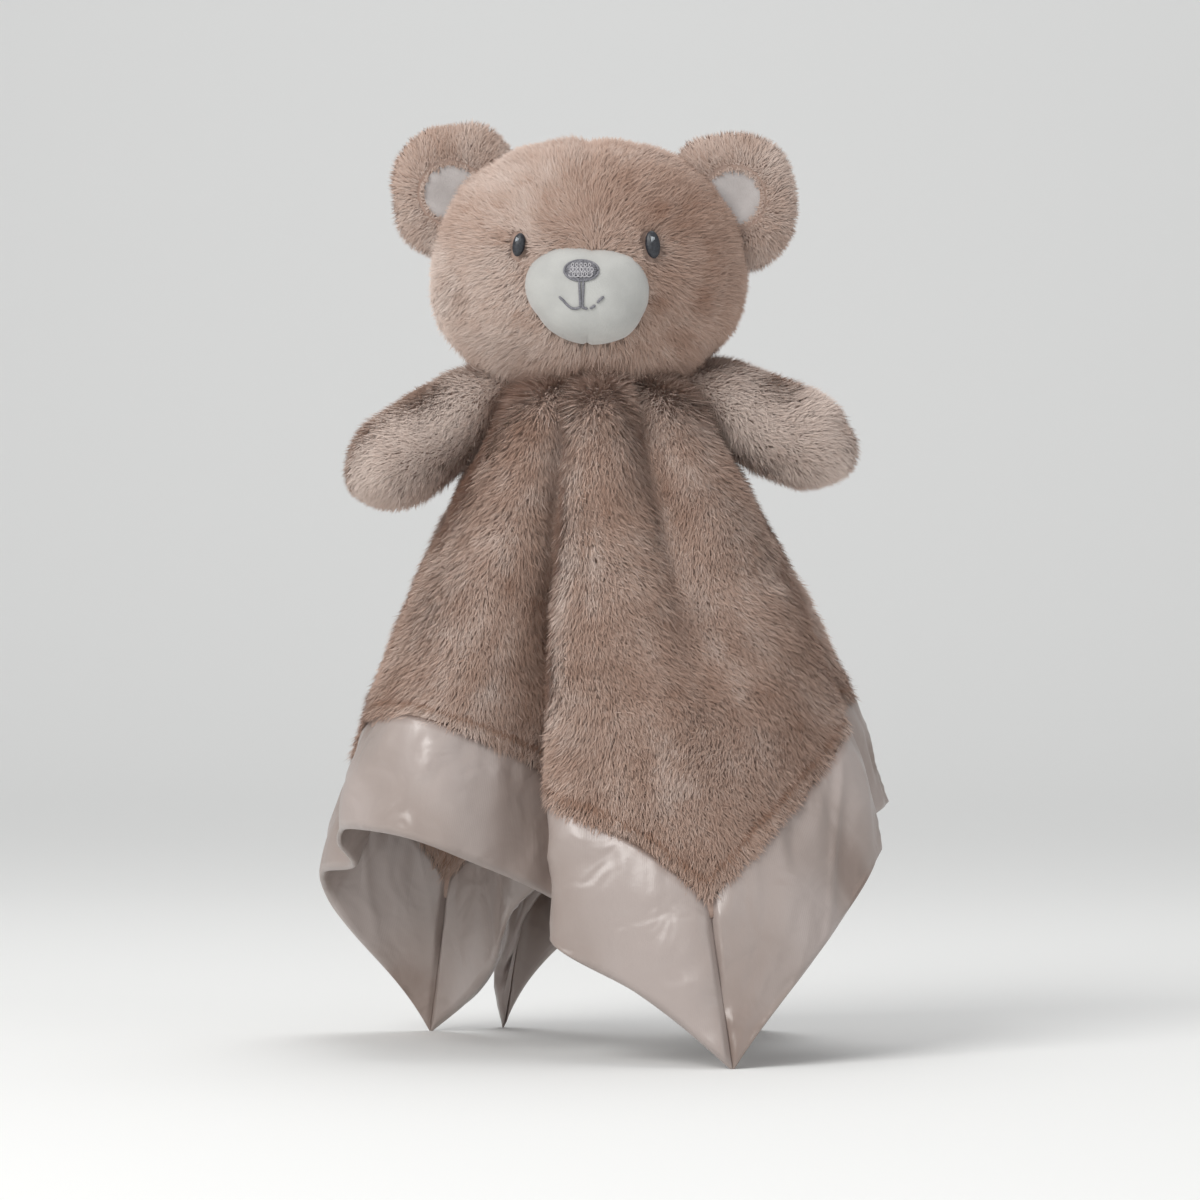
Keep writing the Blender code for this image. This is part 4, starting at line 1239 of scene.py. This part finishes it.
def addNose(look):
    # rows of satin stitch inside a stitched rim
    routes = []
    for k in range(look["rows"]):
        share = (k + 0.5) / look["rows"] * 2 - 1
        wide = look["halfWidth"] * math.sqrt(1 - share**2) * 0.94
        z = look["z"] + look["halfHeight"] * share
        crown = 0.5 * mm * (1 - share**2)
        routes.append([onMuzzle(look["x"] + wide * t, z + 0.25 * mm * math.sin(7 * t + k),
                                0.25 * mm + crown * (1 - t * t)) for t in np.linspace(-1, 1, 11)])
    # pale thread loops across it
    loops = []
    for k, (rise, count) in enumerate(look["loopRows"]):
        wide = look["halfWidth"] * (0.80 * math.sqrt(1 - rise**2) - 0.10)
        middle = look["z"] + look["halfHeight"] * rise
        loops.append([])
        for t in np.linspace(-1, 1, 90):
            angle = math.pi * count * t + k
            loops[-1].append(onMuzzle(look["x"] + wide * t + look["loopWide"] * math.cos(angle),
                                      middle + look["loopHigh"] * math.sin(angle),
                                      1.15 * mm - 0.35 * mm * t * t))
    threadRun("noseLoops", loops, look["loopThread"], paleThread, None, 5)
    routes.append([onMuzzle(look["x"] + look["halfWidth"] * math.cos(angle),
                            look["z"] + look["halfHeight"] * math.sin(angle), 0.35 * mm)
                   for angle in np.linspace(0, 2 * math.pi, 37)])
    threadRun("noseStitches", routes, look["thread"], noseThread, "nose_embroidery")


def addMouth(look):
    top = look["z"] - look["halfHeight"]
    foot = top - look["stem"]
    stem = [[onMuzzle(look["x"] + off * (1 - 0.55 * t), top + (foot - top) * t, look["proud"])
             for t in np.linspace(0, 1, 12)] for off in (-look["stemHalf"], look["stemHalf"])]
    threadRun("mouthStemStitches", stem, look["stemThread"], noseThread,
              "mouth_stem_embroidery")
    smile = []
    for side, spans in look["smileSpans"].items():
        for start, end in spans:
            smile.append([onMuzzle(
                look["x"] + side * look["smileHalf"] * t,
                foot + look["proud"] - look["smileDip"] * math.sin(math.pi * min(1, t * 1.25))
                + look["smileRise"] * t**2.2, look["proud"])
                for t in np.linspace(start, end, 4 + int(12 * (end - start)))])
    threadRun("mouthSmileStitches", smile, look["smileThread"], noseThread,
              "mouth_smile_embroidery")


addNose(noseLook)
addMouth(noseLook)


def addEye(label, x, size, lean):
    # upright satin stitches over a low pad, with a pale stitched glint
    look = eyeLook
    at = np.array((x, float(headFrontAt(x, look["height"])), look["height"]))
    slant = unit((at - headMiddle) / headHalves**2)
    across = unit(np.cross(np.array((0, 0, 1.0)), slant))
    rise = np.cross(slant, across)
    across, rise = (across * math.cos(lean) + rise * math.sin(lean),
                    rise * math.cos(lean) - across * math.sin(lean))
    across, rise = across * look["halfWidth"] * size, rise * look["halfHeight"] * size

    def shape(u, v, w):
        ridge = 1 + 0.05 * math.sin(u * 30)
        return at + across * u + rise * w + slant * (look["proud"] - v * look["halfDepth"] * ridge)

    eye = addBall("eye" + label, 32, 20, shape, eyeThread)
    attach(eye, "head")
    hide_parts("eye_" + label.lower())
    routes = []
    for k in range(3):
        u = -0.30 + 0.17 * k
        routes.append([at + across * u + rise * t
                       + slant * (math.sqrt(max(0.02, 1 - u * u - t * t)) * look["halfDepth"]
                                  + look["proud"] + 0.05 * mm)
                       for t in np.linspace(0.18 + 0.06 * k, 0.58 - 0.04 * k, 6)])
    threadRun("eyeGlint" + label, routes, 0.22 * mm, eyeShine, None, 5)


for label, (x, size, lean, _) in eyes.items():
    addEye(label, x, size, lean)
print("face ready")


# ears

earLook = {
    "radius": 21 * mm,
    "halfDepth": 7 * mm,
    "taller": 1.06,
    "square": 0.07,            # how far its outline stands out between up and across
    "lining": 0.56,            # share of the ear that its lining fills
    "cup": 4.2 * mm,
    "cupShare": 0.8,
    "liningThick": 1.2 * mm,
    "liningProud": 0.5 * mm,
    "rings": 12,
    "sides": 48,
    "weld": 0.02 * mm,
}
# place across, height over the head's middle, how far the lining lies off the middle, seed
ears = {
    "Left": (neck[0] - 51.5 * mm, 25.5 * mm, (-0.12, -0.02), 65),
    "Right": (neck[0] + 50 * mm, 22 * mm, (0.02, 0.06), 66),
}
earVelour = clothMaterial("earVelour", ((0.42, 0.385, 0.375), (0.52, 0.485, 0.475)), 110,
                          0.8, 0.4, 1500, 0.25 * mm)
earFur = dict(headFur, toneAt=None, length=4.6 * mm, swirlSize=14 * mm, tone=0.76)


def earCup(u, v):
    # how far the front is pressed in
    apart = min(1.0, math.hypot(u, v) / earLook["cupShare"])
    return earLook["cup"] * (1 - apart**2) ** 2


def addEarLining(label, middle, off):
    # a disc that lies in the cup, with its rim sunk into the ear
    look = earLook
    rings, sides = look["rings"], look["sides"]
    points = []
    for back in (0, 1):
        for ring in range(rings + 1):
            share = ring / rings * look["lining"]
            for side in range(sides):
                angle = 2 * math.pi * side / sides
                u = off[0] + share * math.cos(angle)
                v = off[1] + share * math.sin(angle)
                y = earCup(u, v) - math.sqrt(1 - min(0.98, u * u + v * v)) * look["halfDepth"]
                y += look["liningThick"] if back else \
                    -look["liningProud"] * (1 - 2.6 * (ring / rings) ** 5)
                points.append((middle[0] + u * look["radius"], middle[1] + y,
                               middle[2] + v * look["radius"]))
    half = (rings + 1) * sides
    front = gridFaces(rings + 1, sides, False, True)
    faces = front + [tuple(k + half for k in face[::-1]) for face in front]
    for side in range(sides):
        following = (side + 1) % sides
        faces.append((rings * sides + side, rings * sides + following,
                      half + rings * sides + following, half + rings * sides + side))
    lining = addMesh("ear" + label + "Lining", points, faces, earVelour)
    outwards(lining, look["weld"])
    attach(lining, "head")
    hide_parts(f"ear_{label.lower()}_lining")


def addEar(label, x, rise, off, seed):
    look = earLook
    middle = np.array((x, neck[1], headMiddle[2] + rise))

    def shape(u, y, v):
        press = earCup(u, v) if y < 0 else 0
        reach = look["radius"] * (1 + look["square"] * math.sin(2 * math.atan2(v, u)) ** 2)
        return (middle[0] + u * reach, middle[1] + y * look["halfDepth"] + press,
                middle[2] + v * reach * look["taller"])

    ear = addBall("ear" + label + "Plush", 56, 36, shape, plushBacking)
    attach(ear, "head")
    name = label.lower()
    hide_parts(f"ear_{name}_front", f"ear_{name}_back", f"ear_{name}_fill")
    addEarLining(label, middle, off)

    def fromLining(points):
        # distance from the lining's middle, in shares of the lining's radius
        place = (points - middle) / look["radius"]
        return np.hypot(place[:, 0] - off[0], place[:, 2] - off[1]) / look["lining"]

    def keep(points, facing):
        inLining = (fromLining(points) < 0.92) & (points[:, 1] < middle[1])
        inHead = (((points - headMiddle) / headHalves) ** 2).sum(1) < 0.85
        return np.where(inLining | inHead, 0.0, 1.0)

    def comb(points, up):
        # outwards on the rim, over the lining's edge inside it
        out = unit(points - middle - np.array((0, 0, 2 * mm)))
        inside = (1 - smoothStep(fromLining(points), 0.90, 1.12))[:, None]
        front = points[:, 1:2] < middle[1]
        return out * (1 - 1.9 * inside * front) + np.array((0, 0.15, 0))

    def length(root):
        # shorter round the lining
        near = smoothStep(fromLining(root), 0.95, 1.4)
        return np.where(root[:, 1] < middle[1], 0.5 + 0.5 * near, 1.0)

    growFur("ear" + label + "Fur", ear, "head", dict(earFur, lengthAt=length), comb, keep, seed)


for label, (x, rise, off, seed) in ears.items():
    addEar(label, x, rise, off, seed)
print("ears ready")


# arms

armLook = {
    "reach": 60 * mm,
    "thickness": 30.5 * mm,
    "depth": 30 * mm,
    "forward": 12 * mm,
    "columns": 40,
    "rings": 44,
    "cap": 3.2 * mm,           # how far the paw's end is rounded
    "capSteps": (0.72, 0.38),
}
# share of the reach, rise, half thickness, half depth
armShares = {
    "Left": ((0.00, 0.000, 0.14, 0.24), (0.12, 0.010, 0.23, 0.34), (0.28, -0.080, 0.39, 0.45),
             (0.50, -0.262, 0.49, 0.50), (0.73, -0.425, 0.50, 0.51), (0.87, -0.515, 0.41, 0.44),
             (0.955, -0.560, 0.22, 0.24)),
    "Right": ((0.00, 0.000, 0.14, 0.24), (0.12, 0.010, 0.23, 0.34), (0.29, -0.055, 0.39, 0.45),
              (0.52, -0.205, 0.50, 0.50), (0.77, -0.325, 0.51, 0.51), (0.92, -0.370, 0.42, 0.44),
              (1.010, -0.380, 0.22, 0.24)),
}


def armTone(root, up):
    # the paws are paler than the upper arms
    return -0.03 + 0.22 * smoothStep(np.abs(root[:, 0] - neck[0]), 38 * mm, 62 * mm)


armFur = dict(headFur, toneAt=armTone, lengthAt=None, density=5.8, swirlSize=18 * mm, tone=0.86)


def armRows(table, count):
    # a smooth curve through the table's rows
    table = np.array(table)
    rows = []
    for value in np.linspace(0, len(table) - 1, count):
        k = min(int(value), len(table) - 2)
        t = value - k
        p0, p1 = table[max(k - 1, 0)], table[k]
        p2, p3 = table[k + 1], table[min(k + 2, len(table) - 1)]
        rows.append(0.5 * (2 * p1 + (p2 - p0) * t + (2 * p0 - 5 * p1 + 4 * p2 - p3) * t**2
                           + (3 * p1 - p0 - 3 * p2 + p3) * t**3))
    return np.array(rows)


def addArm(label, side, seed):
    look = armLook
    columns = look["columns"]
    rows = armRows(armShares[label], look["rings"])
    seam = np.array(joints["arm_" + label.lower() + "_swing"]["pos_m"])
    middles = np.stack([seam[0] + side * look["reach"] * rows[:, 0],
                        seam[1] - look["forward"] * rows[:, 0] ** 2,
                        seam[2] + look["reach"] * rows[:, 1]], axis=1)
    ahead = unit(np.gradient(middles, axis=0))
    front = np.array((0.0, -1.0, 0.0))
    front = unit(front - ahead * (ahead @ front)[:, None])
    across = np.cross(ahead, front) * look["thickness"] * rows[:, 2:3]
    front = front * look["depth"] * rows[:, 3:4]
    angles = [2 * math.pi * column / columns for column in range(columns)]
    points = [middle + wide * math.cos(angle) + deep * math.sin(angle)
              for middle, wide, deep in zip(middles, across, front) for angle in angles]
    faces = gridFaces(look["rings"], columns, False, True)
    # closed at the seam, rounded at the paw
    for k, cap in ((0, 0), (look["rings"] - 1, look["cap"])):
        ring = list(range(k * columns, (k + 1) * columns))
        outline = [points[place] - middles[k] for place in ring]
        for step in look["capSteps"]:
            shrunk = list(range(len(points), len(points) + columns))
            points += [middles[k] + spoke * step + ahead[k] * cap * (1 - step)
                       for spoke in outline]
            for column in range(columns):
                following = (column + 1) % columns
                faces.append((ring[column], ring[following], shrunk[following], shrunk[column]))
            ring = shrunk
        points.append(middles[k] + ahead[k] * cap)
        for column in range(columns):
            faces.append((ring[column], ring[(column + 1) % columns], len(points) - 1))
    arm = addMesh("arm" + label + "Plush", points, faces, plushBacking)
    outwards(arm)
    body = "arm_" + label.lower()
    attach(arm, body)
    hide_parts(body + "_front", body + "_back", body + "_fill")
    fall = unit(middles[-1] - middles[0]) + down * 0.25
    growFur("arm" + label + "Fur", arm, body, armFur,
            lambda points, up: np.broadcast_to(fall, points.shape), None, seed)


addArm("Left", -1, 70)
addArm("Right", 1, 72)
print("arms ready")
